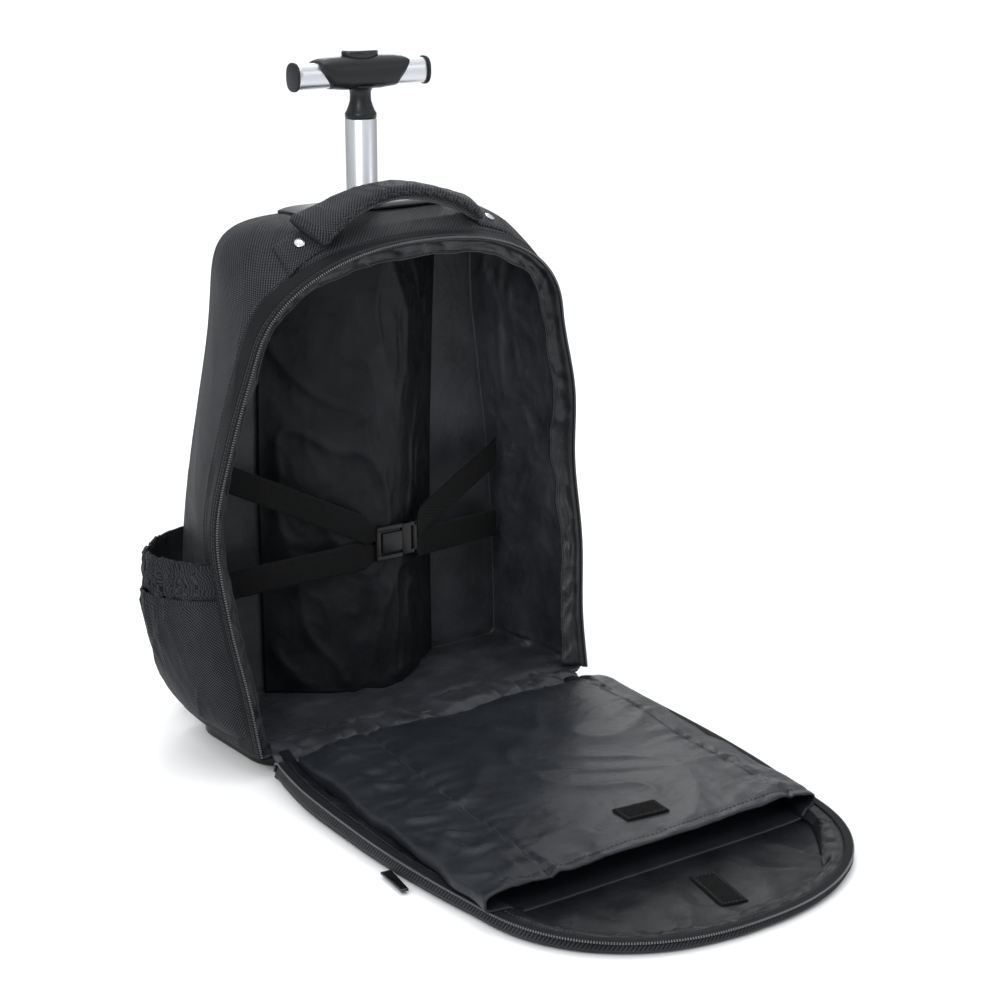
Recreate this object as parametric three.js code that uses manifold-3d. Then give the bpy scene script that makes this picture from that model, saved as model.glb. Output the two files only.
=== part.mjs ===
// A wheeled backpack that stands open: its front panel is unzipped and lies on the floor.
// Millimetres. X runs to the right as one looks into the opening, Y towards the wearer's back,
// Z up. The origin is the middle of the base plate's flat underside.

import * as THREE from 'three';
import { mergeVertices } from 'three/addons/utils/BufferGeometryUtils.js';
import Module from 'manifold-3d';

const wasm = await Module();
wasm.setup();

// Driving dimensions

const gap = 0.3;              // air between pieces that touch

const halfWidth = 187;        // widest half of the opening
const openingHeight = 410;    // base seam to the top of the arch
const depth = 145;            // front edge to back face, at the base
const frontY = -72;           // the front edge at the base
const baseSeamZ = 22;
const bodyBottomZ = 16;
const cloth = 3;              // foam-backed outer cloth
const backWall = 12;          // padded back wall
const crownRise = 14;         // how far the middle of the top stands over the opening
const backRise = 12;
const crownZ = baseSeamZ + openingHeight + crownRise;
const frontRoundness = 2.3;   // power of the arch's rounded top at the zip
const backRoundness = 5.5;    // and at the back, where it is squarer
const cornerCut = 8;          // the rounding of the bottom corners

const zipWidth = 8;
const zipThick = 3;
const bindingReach = 0.07;    // how far it reaches back, of the depth
const bindingFlare = 17;      // and how far it stands in from the wall
const bindingThick = 1.5;

const panelHalf = 173;        // widest half of the loose panel
const panelLength = 440;      // hinge to tip, along the floor
const panelHingeY = -61.6;
const panelTurn = -0.044;     // the loose panel lies askew
const panelHingeGap = 2.2;
const panelRimHinge = 20;     // height of the rim at the hinge
const panelRimTip = 8;
const panelRimWidth = 15;
const panelRimFoot = 6;       // the slope from the rim down to the lining
const panelFloorHinge = 6;    // height of the lining inside the rim
const panelFloorTip = 4;
const hingeWebHalves = [146, 116];   // at the bag's floor and on the panel
const hingeWebThick = 1.6;

const sleeveHalf = 158;
const sleeveLength = 306;
const sleeveStart = 25;       // its closed end, from the hinge
const sleeveOffset = 11;
const sleeveDrift = 0.055;    // its middle line leans aside as it goes
const sleeveTop = 31;
const sleeveCloth = 1.8;
const pullSize = [9, 34, 2.5];

const pocketBottomZ = 34;
const pocketMouthZ = 150;
const pocketBulge = 44;
const pocketShares = [0.06, 0.9];    // its front and back seams, of the depth
const pocketCloth = 2;
const elasticHeight = 30;    // the gathered casing of its mouth
const elasticThick = 3;

const poleY = 24;
const poleRadii = { outer: 16.5, middle: 15, top: 13.25 };
const tubeWall = 1.2;
const bezelProud = 6;         // over the crown
const bezelTopZ = crownZ + bezelProud;
const poleShown = 69;         // of the top tube, over the bezel
const outerTubeZ = [20, crownZ - 16];
const middleTubeZ = [30, bezelTopZ];
const topTubeZ = [98, bezelTopZ + poleShown];
const poleCoverHalf = 90;
const poleCoverAir = 1;       // between the lining and the tube that it hides
const poleCoverTopZ = crownZ - 38;
const bezelHalf = 70;
const bezelY = [4, 46];

const hubBottomZ = topTubeZ[1] + 24;
const hubHeight = 27.5;
const hubTopZ = hubBottomZ + hubHeight;
const hubDepth = 27;
const gripZ = hubBottomZ + hubHeight * 0.455;    // middle line of the cross bar
const armLength = 66;         // half of the bar, with its end cap
const armHeight = hubHeight * 0.764;
const armDepth = hubDepth * 0.63;
const armInner = 20;          // where an arm ends inside the hub
const capThick = 6;
const capOver = 1.8;
const hubHalf = 43;
const neckRadius = 8.8;
const collarHeight = 4;
const buttonHalf = 17;
const buttonDepth = 9.5;
const buttonHeight = 8;
const buttonProud = 4;
const buttonTravel = 3;

const carryHalf = 83;         // half of the padded arch
const carryX = -5;            // it leans a little to the left
const carryY = -27;
const carryTopZ = crownZ + 28;
const carryWidth = 40;
const carryThick = 14;
const carryEnd = 0.62;        // share of the thickness at its sewn ends
const anchorY = -28;
const anchorX = 95;           // the rivets
const anchorLength = 30;
const anchorWidth = 26;
const anchorThick = 2.5;
const rivetRadius = 4.6;

const basePlateHalf = 157;
const basePlateY = [-58, 72];
const basePlateCorner = 30;
const wheelRadius = 26;
const wheelWidth = 24;
const wheelX = 127;
const wheelRunning = 1.5;     // air beside and round the wheel
const housingWall = 4;
const housingReach = 20;      // how far the housing stands over the axle's height
const axleRadius = 4;

const backPadHalf = 122;
const backPadZ = [84, crownZ - 50];
const backPadThick = 14;
const padSeat = 0.8;          // air between the back's cloth and its pad
const shoulderWidth = 58;
const shoulderThick = 10;
const shoulderTopX = 48;
const shoulderEndX = 84;
const shoulderZ = [crownZ - 58, baseSeamZ + 0.41 * openingHeight];
const webbing = 25;
const webbingThick = 1.8;
const shoulderFootX = 112;
const shoulderFootZ = 84;

const buckleSize = [43, 8, 31];
const buckleAt = [12.5, 0.4, baseSeamZ + 0.327 * openingHeight];
const strapSeamX = 150;
const strapSeamY = 38;

// Tables: lengths are shares of the named size that each column names

const bodyRows = [
  // height of openingHeight; widths and lean to the right of halfWidth; setbacks of depth
  { height: 0.00, front: 0.928, middle: 0.930, back: 0.890, lean: 0.000, frontSet: 0.000, backSet: 1.000 },
  { height: 0.12, front: 0.945, middle: 0.940, back: 0.885, lean: 0.000, frontSet: 0.078, backSet: 1.000 },
  { height: 0.28, front: 0.990, middle: 0.945, back: 0.870, lean: 0.000, frontSet: 0.163, backSet: 0.993 },
  { height: 0.45, front: 0.997, middle: 0.930, back: 0.830, lean: 0.000, frontSet: 0.251, backSet: 0.980 },
  { height: 0.62, front: 0.947, middle: 0.885, back: 0.765, lean: 0.015, frontSet: 0.203, backSet: 0.960 },
  { height: 0.80, front: 0.836, middle: 0.810, back: 0.700, lean: 0.034, frontSet: 0.179, backSet: 0.930 },
  { height: 1.00, front: 0.740, middle: 0.770, back: 0.680, lean: 0.034, frontSet: 0.046, backSet: 0.890 },
];
const archStart = 0.8;        // share of the height where the arch's rounded top begins

const panelRows = [
  // along of panelLength, width of panelHalf
  { along: 0.00, width: 0.895 },
  { along: 0.10, width: 0.958 },
  { along: 0.21, width: 0.994 },
  { along: 0.39, width: 1.000 },
  { along: 0.51, width: 0.988 },
  { along: 0.62, width: 0.960 },
  { along: 0.72, width: 0.925 },
  { along: 1.00, width: 0.860 },
];
const panelArchStart = 0.72;

const rimRows = [
  // along of panelLength; rise: 1 at the hinge's rim height, 0 at the tip's
  { along: 0.00, rise: 1.00 },
  { along: 0.25, rise: 0.80 },
  { along: 0.50, rise: 0.54 },
  { along: 0.75, rise: 0.27 },
  { along: 1.00, rise: 0.00 },
];

const traySections = [
  // inset of panelRimWidth from the outline; level: share of the rim's height over the floor
  { inset: 0.45, level: 0.00 },
  { inset: 0.05, level: 0.18 },
  { inset: -0.10, level: 0.55 },
  { inset: 0.05, level: 0.95 },
  { inset: 0.50, level: 1.00 },
  { inset: 1.00, level: 0.88 },
];

const pocketRows = [
  // height of the pocket, bulge of pocketBulge
  { height: 0.00, bulge: 0.08 },
  { height: 0.06, bulge: 0.28 },
  { height: 0.16, bulge: 0.50 },
  { height: 0.32, bulge: 0.72 },
  { height: 0.55, bulge: 0.90 },
  { height: 0.80, bulge: 1.00 },
  { height: 1.00, bulge: 0.98 },
];

const strapRows = [
  // the four straps of the X: side, height of the seam and of the buckle's end as shares of
  // openingHeight, layer at the buckle
  { name: 'compression_strap_left_upper', side: -1, seam: 0.527, end: 0.351, layer: 1 },
  { name: 'compression_strap_left_lower', side: -1, seam: 0.273, end: 0.307, layer: 0 },
  { name: 'compression_strap_right_upper', side: 1, seam: 0.454, end: 0.346, layer: 1 },
  { name: 'compression_strap_right_lower', side: 1, seam: 0.283, end: 0.305, layer: 0 },
];

// Materials

const finish = (color, roughness, metalness = 0) =>
  new THREE.MeshStandardMaterial({ color, roughness, metalness });
const materials = {
  twill: finish(0x26282b, 0.85),
  lining: finish(0x2c3036, 0.5),
  mesh: finish(0x1b1c1e, 0.95),
  webbing: finish(0x141415, 0.8),
  zip: finish(0x17181a, 0.5),
  plastic: finish(0x232427, 0.45),
  grip: finish(0x303236, 0.4),
  aluminium: finish(0xc9ccd1, 0.32, 1),
  steel: finish(0xd8dade, 0.2, 1),
  rubber: finish(0x1a1a1b, 0.8),
};

// Small helpers

const mix = (a, b, t) => a + (b - a) * t;
const point = (x, y, z) => new THREE.Vector3(x, y, z);
const steps = (count) => Array.from({ length: count + 1 }, (_, i) => i / count);
const power = (value, exponent) => Math.sign(value) * Math.abs(value) ** exponent;

// A smooth curve through a table's rows
function tableValue(rows, key, at, column) {
  const last = rows.length - 1;
  const clamped = Math.min(Math.max(at, rows[0][key]), rows[last][key]);
  let i = 0;
  while (i < last - 1 && clamped > rows[i + 1][key]) i += 1;
  const slope = (k) => {
    const a = rows[Math.max(k - 1, 0)];
    const b = rows[Math.min(k + 1, last)];
    return (b[column] - a[column]) / (b[key] - a[key]);
  };
  const span = rows[i + 1][key] - rows[i][key];
  const t = (clamped - rows[i][key]) / span;
  const square = t * t;
  const cube = square * t;
  return rows[i][column] * (2 * cube - 3 * square + 1)
    + rows[i + 1][column] * (3 * square - 2 * cube)
    + slope(i) * span * (cube - 2 * square + t)
    + slope(i + 1) * span * (cube - square);
}

// The curve through three values at 0, 1/2 and 1
function through(start, middle, end, t) {
  return start * (2 * t - 1) * (t - 1) + middle * 4 * t * (1 - t) + end * t * (2 * t - 1);
}

function geometryFrom(points, triangles) {
  const geometry = new THREE.BufferGeometry();
  const coordinates = points.flatMap((p) => [p.x, p.y, p.z]);
  geometry.setAttribute('position', new THREE.Float32BufferAttribute(coordinates, 3));
  const a = new THREE.Vector3();
  let volume = 0;
  for (const [i, j, k] of triangles) volume += points[i].dot(a.crossVectors(points[j], points[k]));
  const outward = volume < 0 ? triangles.map(([i, j, k]) => [i, k, j]) : triangles;
  geometry.setIndex(outward.flat());
  return geometry;
}

// A closed body through rings of equal count. Its ends are fans, or it closes on itself.
function loft(rings, closed = false) {
  const count = rings[0].length;
  const points = rings.flat();
  const triangles = [];
  const pairs = closed ? rings.length : rings.length - 1;
  for (let r = 0; r < pairs; r += 1) {
    const s = (r + 1) % rings.length;
    for (let i = 0; i < count; i += 1) {
      const j = (i + 1) % count;
      triangles.push([r * count + i, r * count + j, s * count + j]);
      triangles.push([r * count + i, s * count + j, s * count + i]);
    }
  }
  if (!closed) {
    for (const [r, flip] of [[0, true], [rings.length - 1, false]]) {
      const middle = rings[r].reduce((sum, p) => sum.add(p), point(0, 0, 0)).divideScalar(count);
      points.push(middle);
      for (let i = 0; i < count; i += 1) {
        const j = (i + 1) % count;
        const fan = [r * count + i, r * count + j, points.length - 1];
        triangles.push(flip ? [fan[1], fan[0], fan[2]] : fan);
      }
    }
  }
  return geometryFrom(points, triangles);
}

// A closed body between two grids of points with the same rows and columns
function sheet(outer, inner) {
  const rows = outer.length;
  const columns = outer[0].length;
  const points = [...outer.flat(), ...inner.flat()];
  const top = (r, c) => r * columns + c;
  const under = (r, c) => rows * columns + top(r, c);
  const triangles = [];
  const quad = (a, b, c, d) => triangles.push([a, b, c], [a, c, d]);
  for (let r = 0; r < rows - 1; r += 1) {
    for (let c = 0; c < columns - 1; c += 1) {
      quad(top(r, c), top(r, c + 1), top(r + 1, c + 1), top(r + 1, c));
      quad(under(r, c), under(r + 1, c), under(r + 1, c + 1), under(r, c + 1));
    }
  }
  for (let c = 0; c < columns - 1; c += 1) {
    quad(top(0, c), under(0, c), under(0, c + 1), top(0, c + 1));
    quad(top(rows - 1, c), top(rows - 1, c + 1), under(rows - 1, c + 1), under(rows - 1, c));
  }
  for (let r = 0; r < rows - 1; r += 1) {
    quad(top(r, 0), top(r + 1, 0), under(r + 1, 0), under(r, 0));
    quad(top(r, columns - 1), under(r, columns - 1), under(r + 1, columns - 1), top(r + 1, columns - 1));
  }
  return geometryFrom(points, triangles);
}

function toSolid(geometry) {
  const bare = geometry.clone();
  bare.deleteAttribute('normal');
  bare.deleteAttribute('uv');
  const merged = mergeVertices(bare, 1e-4);
  return new wasm.Manifold(new wasm.Mesh({
    numProp: 3,
    vertProperties: new Float32Array(merged.attributes.position.array),
    triVerts: new Uint32Array(merged.index.array),
  }));
}

function fromSolid(solid) {
  const cut = solid.getMesh();
  const geometry = new THREE.BufferGeometry();
  geometry.setAttribute('position', new THREE.BufferAttribute(new Float32Array(cut.vertProperties), 3));
  geometry.setIndex(new THREE.BufferAttribute(new Uint32Array(cut.triVerts), 1));
  return geometry;
}

// An upright cylinder from one height to another
function post(radius, low, high, x, y, sides = 24) {
  const geometry = new THREE.CylinderGeometry(radius, radius, high - low, sides);
  geometry.rotateX(Math.PI / 2);
  geometry.translate(x, y, (low + high) / 2);
  return geometry;
}

// A cylinder along X
function crossPost(radius, left, right, y, z, sides = 24) {
  const geometry = new THREE.CylinderGeometry(radius, radius, right - left, sides);
  geometry.rotateZ(Math.PI / 2);
  geometry.translate((left + right) / 2, y, z);
  return geometry;
}

function block(low, high) {
  const geometry = new THREE.BoxGeometry(...high.map((value, i) => value - low[i]));
  geometry.translate(...high.map((value, i) => (value + low[i]) / 2));
  return geometry;
}

const model = new THREE.Group();
const panelGroup = new THREE.Group();
panelGroup.position.y = panelHingeY;
panelGroup.rotation.z = panelTurn;
model.add(panelGroup);

function add(name, geometry, material, parent = model) {
  const mesh = new THREE.Mesh(geometry, material);
  mesh.name = name;
  parent.add(mesh);
  return mesh;
}

// The body's surface: height and depth are shares, 0 at the base seam and at the zip

const rise = (t) => through(0, crownRise, backRise, t);
const roundness = (t) => mix(frontRoundness, backRoundness, Math.min(1, t * 1.33) ** 1.5);
const rowValue = (height, column) => tableValue(bodyRows, 'height', height, column);
const frontEdge = (height) => frontY + rowValue(height, 'frontSet') * depth;
const bodyStart = (height) => frontEdge(height) + zipWidth + gap;
const bodyEnd = (height) => frontY + rowValue(height, 'backSet') * depth;
const bodyY = (height, t) => mix(bodyStart(height), bodyEnd(height), t);
const bodyZ = (height, t) => baseSeamZ + height * (openingHeight + rise(t));
const bodyLean = (height, t) => halfWidth * rowValue(height, 'lean') * (1 - t);
const bodyHalf = (height, t) =>
  halfWidth * through(rowValue(height, 'front'), rowValue(height, 'middle'), rowValue(height, 'back'), t);

// How much of the full width the arch still has at a height
function archWidth(height, n, start) {
  const up = Math.max(0, (height - start) / (1 - start));
  return (1 - Math.min(1, up) ** n) ** (1 / n);
}

// The value between two ends at which a rising test turns true
function solve(low, high, past) {
  let [a, b] = [low, high];
  for (let i = 0; i < 30; i += 1) {
    const at = (a + b) / 2;
    if (past(at)) b = at; else a = at;
  }
  return (a + b) / 2;
}

// The top of the body over a place across its width
function topHeight(x, t) {
  const n = roundness(t);
  return solve(archStart, 1, (height) =>
    archWidth(height, n, archStart) * bodyHalf(height, t) < Math.abs(x - bodyLean(height, t)));
}

function topPoint(x, t) {
  const height = topHeight(x, t);
  return point(x, bodyY(height, t), bodyZ(height, t));
}

// The depth share at which the top is at a given Y
const topShare = (x, y) => solve(0, 1, (t) => topPoint(x, t).y > y);
const topAt = (x, y) => topPoint(x, topShare(x, y)).z;

const backFaceY = (z) => bodyEnd((z - baseSeamZ) / (openingHeight + backRise));

// The arch from one base seam over the top to the other, as pairs of side and height
const sideSteps = 8;
const archSteps = 8;
function archHalf(n, low, start) {
  const half = steps(sideSteps).map((s) => ({ height: mix(low, start, s), width: 1 }));
  for (const s of steps(archSteps).slice(1)) {
    const angle = s * Math.PI / 2;
    const height = start + (1 - start) * power(Math.sin(angle), 2 / n);
    half.push({ height, width: s === 1 ? 0 : power(Math.cos(angle), 2 / n) });
  }
  return half;
}

const mirrored = (half) =>
  half.slice(0, -1).reverse().map((place) => ({ ...place, width: -place.width }));

function archPlaces(t) {
  const half = archHalf(roundness(t), 0, archStart);
  return [...half, ...mirrored(half)];
}

function archPoint(place, t) {
  const x = place.width * bodyHalf(place.height, t) + bodyLean(place.height, t);
  return point(x, bodyY(place.height, t), bodyZ(place.height, t));
}

// Moves a loop of points inwards in the plane across Y
function insetLoop(loop, distance, open = false) {
  const count = loop.length;
  return loop.map((p, i) => {
    const before = loop[open ? Math.max(i - 1, 0) : (i + count - 1) % count];
    const after = loop[open ? Math.min(i + 1, count - 1) : (i + 1) % count];
    const dx = after.x - before.x;
    const dz = after.z - before.z;
    const length = Math.hypot(dx, dz);
    return point(p.x - dz / length * distance, p.y, p.z + dx / length * distance);
  });
}

function bodyRing(t, inset) {
  const arch = archPlaces(t).map((place) => archPoint(place, t));
  const half = bodyHalf(0, t);
  const y = bodyY(0, t);
  const low = [-1, 1].map((side) => [
    point(side * (half - cornerCut * 0.2), y, mix(baseSeamZ, bodyBottomZ, 0.65)),
    point(side * (half - cornerCut), y, bodyBottomZ),
  ]);
  const floor = [-0.6, -0.2, 0.2, 0.6].map((share) => point(share * half, y, bodyBottomZ));
  const loop = [...arch, ...low[0], ...floor, low[1][1], low[1][0]];
  return insetLoop(loop, inset);
}

// A ring drawn in towards the middle, on the surface that closes an end
function shrink(ring, share, surface) {
  const middle = ring.reduce((sum, p) => sum.add(p), point(0, 0, 0)).divideScalar(ring.length);
  return ring.map((p) => {
    const moved = middle.clone().lerp(p, share);
    return surface(moved.x, moved.y, moved.z);
  });
}

const inside = 1 - backWall / depth;
const innerBackY = (z) => bodyY((z - baseSeamZ) / (openingHeight + rise(inside)), inside);

function makeBodyShell() {
  const onBack = (x, y, z) => point(x, backFaceY(z), z);
  const onWall = (x, y, z) => point(x, innerBackY(z), z);
  const outerShares = [1, 0.93, 0.78, 0.6, 0.42, 0.25, 0.1, 0];
  const innerShares = [0, 0.25, 0.5, 0.75, inside];
  const rings = [
    shrink(bodyRing(1, 3), 0.3, onBack),
    shrink(bodyRing(1, 3), 0.65, onBack),
    ...outerShares.map((t) => bodyRing(t, t > 0.99 ? 3 : 0)),
    ...innerShares.map((t) => bodyRing(t, cloth)),
    shrink(bodyRing(inside, cloth), 0.65, onWall),
    shrink(bodyRing(inside, cloth), 0.3, onWall),
  ];
  const poleHole = post(poleRadii.outer + gap, poleCoverTopZ - 10, bezelTopZ + 20, 0, poleY);
  add('body_shell', fromSolid(toSolid(loft(rings)).subtract(toSolid(poleHole))), materials.twill);
}

// The zip along the opening, and the strip of lining that binds its inner edge
function makeOpening() {
  const arch = (t) => archPlaces(0).map((place) => archPoint(place, t));
  const heights = archPlaces(0).map((place) => place.height);
  const edge = (inset, setback) =>
    insetLoop(arch(0), inset, true).map((p, i) => point(p.x, frontEdge(heights[i]) + setback, p.z));
  const zip = (inset) => [edge(inset, 0), edge(inset, zipWidth)];
  add('opening_zip', sheet(zip(0), zip(zipThick)), materials.zip);
  const binding = (inset) => [edge(inset, 1), ...steps(3).map((s) =>
    insetLoop(arch(bindingReach * s), inset + bindingFlare * s, true))];
  const inset = cloth + 1.5 * gap;
  add('zip_binding', sheet(binding(inset), binding(inset + bindingThick)), materials.lining);
}

// The front panel: along runs from the hinge to the tip, in the panel's own frame

const rimHeight = (along) =>
  mix(panelRimTip, panelRimHinge, tableValue(rimRows, 'along', along, 'rise'));
const panelFloor = (along) => mix(panelFloorHinge, panelFloorTip, along);

const panelWidth = (along) => panelHalf * tableValue(panelRows, 'along', along, 'width');

// Half of the panel's outline at a share of its length
const panelEdge = (share) => panelWidth(share) * archWidth(share, frontRoundness, panelArchStart);

// Where the panel's hinge edge crosses a place, as a share of its length
function hingeShare(x) {
  const reach = panelHingeY - (frontY - panelHingeGap) + x * Math.sin(panelTurn);
  return reach / Math.cos(panelTurn) / panelLength;
}

function panelOutline() {
  const corner = panelHalf * panelRows[0].width;
  const right = archHalf(frontRoundness, hingeShare(corner), panelArchStart);
  const left = mirrored(archHalf(frontRoundness, hingeShare(-corner), panelArchStart));
  const edge = [...right, ...left].map(({ height, width }) =>
    ({ x: width * panelWidth(height), along: height, hinge: false }));
  const hinge = [-0.8, -0.3, 0.3, 0.8].map((share) =>
    ({ x: share * corner, along: hingeShare(share * corner), hinge: true }));
  return [...edge, ...hinge];
}

// The height of the tray's upper side at a place
function trayTop(x, along) {
  const share = Math.min(1, Math.max(0, along / panelLength));
  const inner = panelEdge(share) - Math.abs(x) - panelRimWidth;
  const slope = Math.min(1, Math.max(0, 1 - inner / panelRimFoot));
  return mix(panelFloor(share), rimHeight(share), slope);
}

// Moves the panel's outline inwards over the floor
function panelRing(inset, height) {
  const outline = panelOutline();
  const count = outline.length;
  return outline.map((place, i) => {
    const before = outline[(i + count - 1) % count];
    const after = outline[(i + 1) % count];
    const dx = after.x - before.x;
    const dy = -(after.along - before.along) * panelLength;
    const length = Math.hypot(dx, dy);
    const x = place.x + dy / length * inset;
    const y = -place.along * panelLength - dx / length * inset;
    return point(x, y, height(place));
  });
}

function makeFrontPanel() {
  const rim = (place) => (place.hinge ? panelFloorHinge + 1 : rimHeight(place.along));
  const floor = (place) => panelFloor(place.along);
  const wall = traySections.map(({ inset, level }) =>
    panelRing(inset * panelRimWidth, (place) => level * rim(place)));
  const onFloor = (x, y) => point(x, y, 0);
  const onLining = (x, y) => point(x, y, panelFloor(-y / panelLength));
  const foot = panelRing(panelRimWidth + panelRimFoot, floor);
  const rings = [
    shrink(wall[0], 0.5, onFloor),
    ...wall,
    foot,
    shrink(foot, 0.6, onLining),
  ];
  const sleeve = toSolid(loft(sleeveRows.map((row) => sleeveRing(row, -1.5 * gap))));
  add('front_panel', fromSolid(toSolid(loft(rings)).subtract(sleeve)), materials.twill, panelGroup);

  const open = (ring) => ring.filter((_, i) => !panelOutline()[i].hinge);
  const lifted = (inset, lift) => open(panelRing(inset, (place) => rimHeight(place.along) + lift));
  const outer = [lifted(-1, 0.4 + zipThick), lifted(5, 0.9 + zipThick)];
  const inner = [lifted(-1, 0.4), lifted(5, 0.9)];
  add('panel_zip', fromSolid(toSolid(sheet(outer, inner)).subtract(sleeve)), materials.zip, panelGroup);
}

// The lining that joins the floor of the bag to the panel
function makeHingeWeb() {
  const line = [
    [frontY + 24, bodyBottomZ + cloth + gap],
    [frontY + 8, bodyBottomZ + cloth + gap],
    [frontY - 1, bodyBottomZ + cloth - 0.5],
    [frontY - panelHingeGap - 3, panelFloorHinge + 4.4],
    [frontY - panelHingeGap - 7, panelFloorHinge + 2.2],
  ];
  const half = (y) => (y > frontY - 2 ? hingeWebHalves[0] : hingeWebHalves[1]);
  const row = (lift) => line.map(([y, z]) =>
    steps(8).map((s) => point((2 * s - 1) * half(y), y, z + lift)));
  add('hinge_web', sheet(row(hingeWebThick), row(0)), materials.lining);
}

// An open envelope on the panel, closed towards the hinge
const sleeveRows = [
  // along of sleeveLength, share of its full height
  { along: 0, share: 0.15 },
  { along: 0.025, share: 0.7 },
  { along: 0.07, share: 1 },
  { along: 0.5, share: 0.97 },
  { along: 1, share: 0.94 },
];

function sleeveRing(row, inset) {
  const mouth = sleeveStart + sleeveLength - Math.min(0, inset);
  const along = mix(sleeveStart + inset, mouth, row.along);
  const middle = sleeveOffset - sleeveDrift * along;
  const half = Math.min(sleeveHalf, panelEdge(along / panelLength)) - (1 - row.share) * 8;
  return steps(24).slice(1).map((s) => {
    const angle = s * Math.PI * 2;
    const side = power(Math.cos(angle), 0.3);
    const x = middle + (half - inset) * side;
    const low = trayTop(middle + half * side, along) + gap + 0.2;
    const high = mix(low + 1, sleeveTop, row.share);
    const up = 0.5 + 0.5 * power(Math.sin(angle), 0.35);
    return point(x, -along, mix(low + inset, high - inset, up));
  });
}

function makeLaptopSleeve() {
  const rings = [
    ...sleeveRows.map((row) => sleeveRing(row, 0)),
    ...sleeveRows.slice(1).reverse().map((row) => sleeveRing(row, sleeveCloth)),
  ];
  add('laptop_sleeve', loft(rings), materials.lining, panelGroup);
}

// Flat patches that lie on the panel's floor or on the sleeve
function makePanelPatches() {
  const patch = (name, x, along, size, low, thick, turn) => {
    const geometry = new THREE.BoxGeometry(size[0], size[1], thick);
    geometry.rotateZ(turn);
    geometry.translate(x, -along, low + thick / 2);
    add(name, geometry, materials.webbing, panelGroup);
  };
  const onSleeve = mix(panelFloorTip + 1, sleeveTop, 0.952) + gap;
  patch('loop_patch', 10, sleeveStart + 0.853 * sleeveLength, [38, 22], onSleeve, 2, -0.1);
  const tabAt = mix(sleeveStart + sleeveLength, panelLength, 0.47);
  patch('hook_tab', 6, tabAt, [22, 50], panelFloor(0.84) + 0.6, 2.5, -0.2);
}

// The zip pull that hangs at the side of the panel
function makePullTab() {
  const along = 0.53 * panelLength;
  const geometry = new THREE.BoxGeometry(pullSize[0], pullSize[1], pullSize[2]);
  geometry.rotateZ(-0.12);
  geometry.translate(-panelWidth(0.53) - pullSize[0] / 2 - 3.2, -along, pullSize[2] / 2 + 2);
  add('pocket_zip_pull', geometry, materials.zip, panelGroup);
}

// The bottle pocket on the left side, with a gathered elastic mouth

function pocketCurve(z, lift, bulge) {
  const height = (z - baseSeamZ) / openingHeight;
  return steps(12).map((s) => {
    const t = mix(...pocketShares, s);
    const out = bulge * Math.sin(Math.PI * s) ** 0.75;
    const x = bodyLean(height, t) - bodyHalf(height, t) - gap - lift - out;
    return point(x, bodyY(height, t), bodyZ(height, t));
  });
}

function makeSidePocket() {
  const rows = (lift, trim) => pocketRows.map(({ height, bulge }) =>
    pocketCurve(mix(pocketBottomZ, pocketMouthZ, height), lift, Math.max(0, bulge * pocketBulge - trim)));
  add('side_pocket', sheet(rows(pocketCloth, 0), rows(0, 0)), materials.twill);
  const band = (lift) => steps(2).map((s) => {
    const z = pocketMouthZ + gap + s * elasticHeight;
    return pocketCurve(z, lift, pocketBulge * mix(0.96, 0.9, s));
  });
  add('pocket_elastic', sheet(band(elasticThick), band(0)), materials.twill);
}

// Inside the back: a soft cover over the pole, and the straps that cross over it

const coverFront = poleY - poleRadii.outer - poleCoverAir;
function coverY(x, z) {
  const across = Math.min(1, Math.abs(x) / poleCoverHalf);
  return mix(innerBackY(z) - 1, coverFront, Math.cos(across * Math.PI / 2) ** 1.2);
}

function makePoleCover() {
  const heights = steps(4).map((s) => mix(bodyBottomZ + cloth + gap, poleCoverTopZ, s));
  const rows = (lift) => heights.map((z) => steps(12).map((s) => {
    const x = mix(-poleCoverHalf, poleCoverHalf, s);
    return point(x, coverY(x, z) - lift, z);
  }));
  add('pole_cover', sheet(rows(sleeveCloth), rows(0)), materials.lining);
}

function makeCompressionStraps() {
  const [width] = buckleSize;
  for (const row of strapRows) {
    const { name, side, layer } = row;
    const end = buckleAt[0] + side * (width / 2 + gap);
    const front = -layer * (webbingThick + gap);
    const line = [
      { x: side * strapSeamX, y: strapSeamY },
      { x: side * (strapSeamX - 6), y: strapSeamY - 2 + front },
      { x: side * 46, y: 10.5 + front },
      { x: end, y: buckleAt[1] + 2 + front },
    ];
    const heightAt = (x) => baseSeamZ + openingHeight
      * mix(row.seam, row.end, (side * strapSeamX - x) / (side * strapSeamX - end));
    const half = webbing / 2;
    const grid = (lift) => line.map(({ x, y }) => [-half, half].map((z) =>
      point(x, y + lift, heightAt(x) + z * (x === end ? 0.55 : 1))));
    add(name, sheet(grid(-webbingThick), grid(0)), materials.webbing);
  }
  const [x, y, z] = buckleAt;
  const [, thick, tall] = buckleSize;
  const split = x + width * 0.12;
  const half = { low: z - tall / 2, high: z + tall / 2, front: y - thick / 2, back: y + thick / 2 };
  add('buckle_socket', block([x - width / 2, half.front, half.low], [split, half.back, half.high]),
    materials.plastic);
  add('buckle_plug', block([split + gap, half.front + 1, half.low + 1],
    [x + width / 2, half.back - 1, half.high - 1]), materials.plastic);
}

// The telescoping pole

function tube(radius, [low, high]) {
  const ring = (r, z) => steps(24).slice(1).map((s) => {
    const angle = s * Math.PI * 2;
    return point(r * Math.cos(angle), poleY + r * Math.sin(angle), z);
  });
  const bore = radius - tubeWall;
  return loft([ring(radius, low), ring(radius, high), ring(bore, high), ring(bore, low)], true);
}

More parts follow.
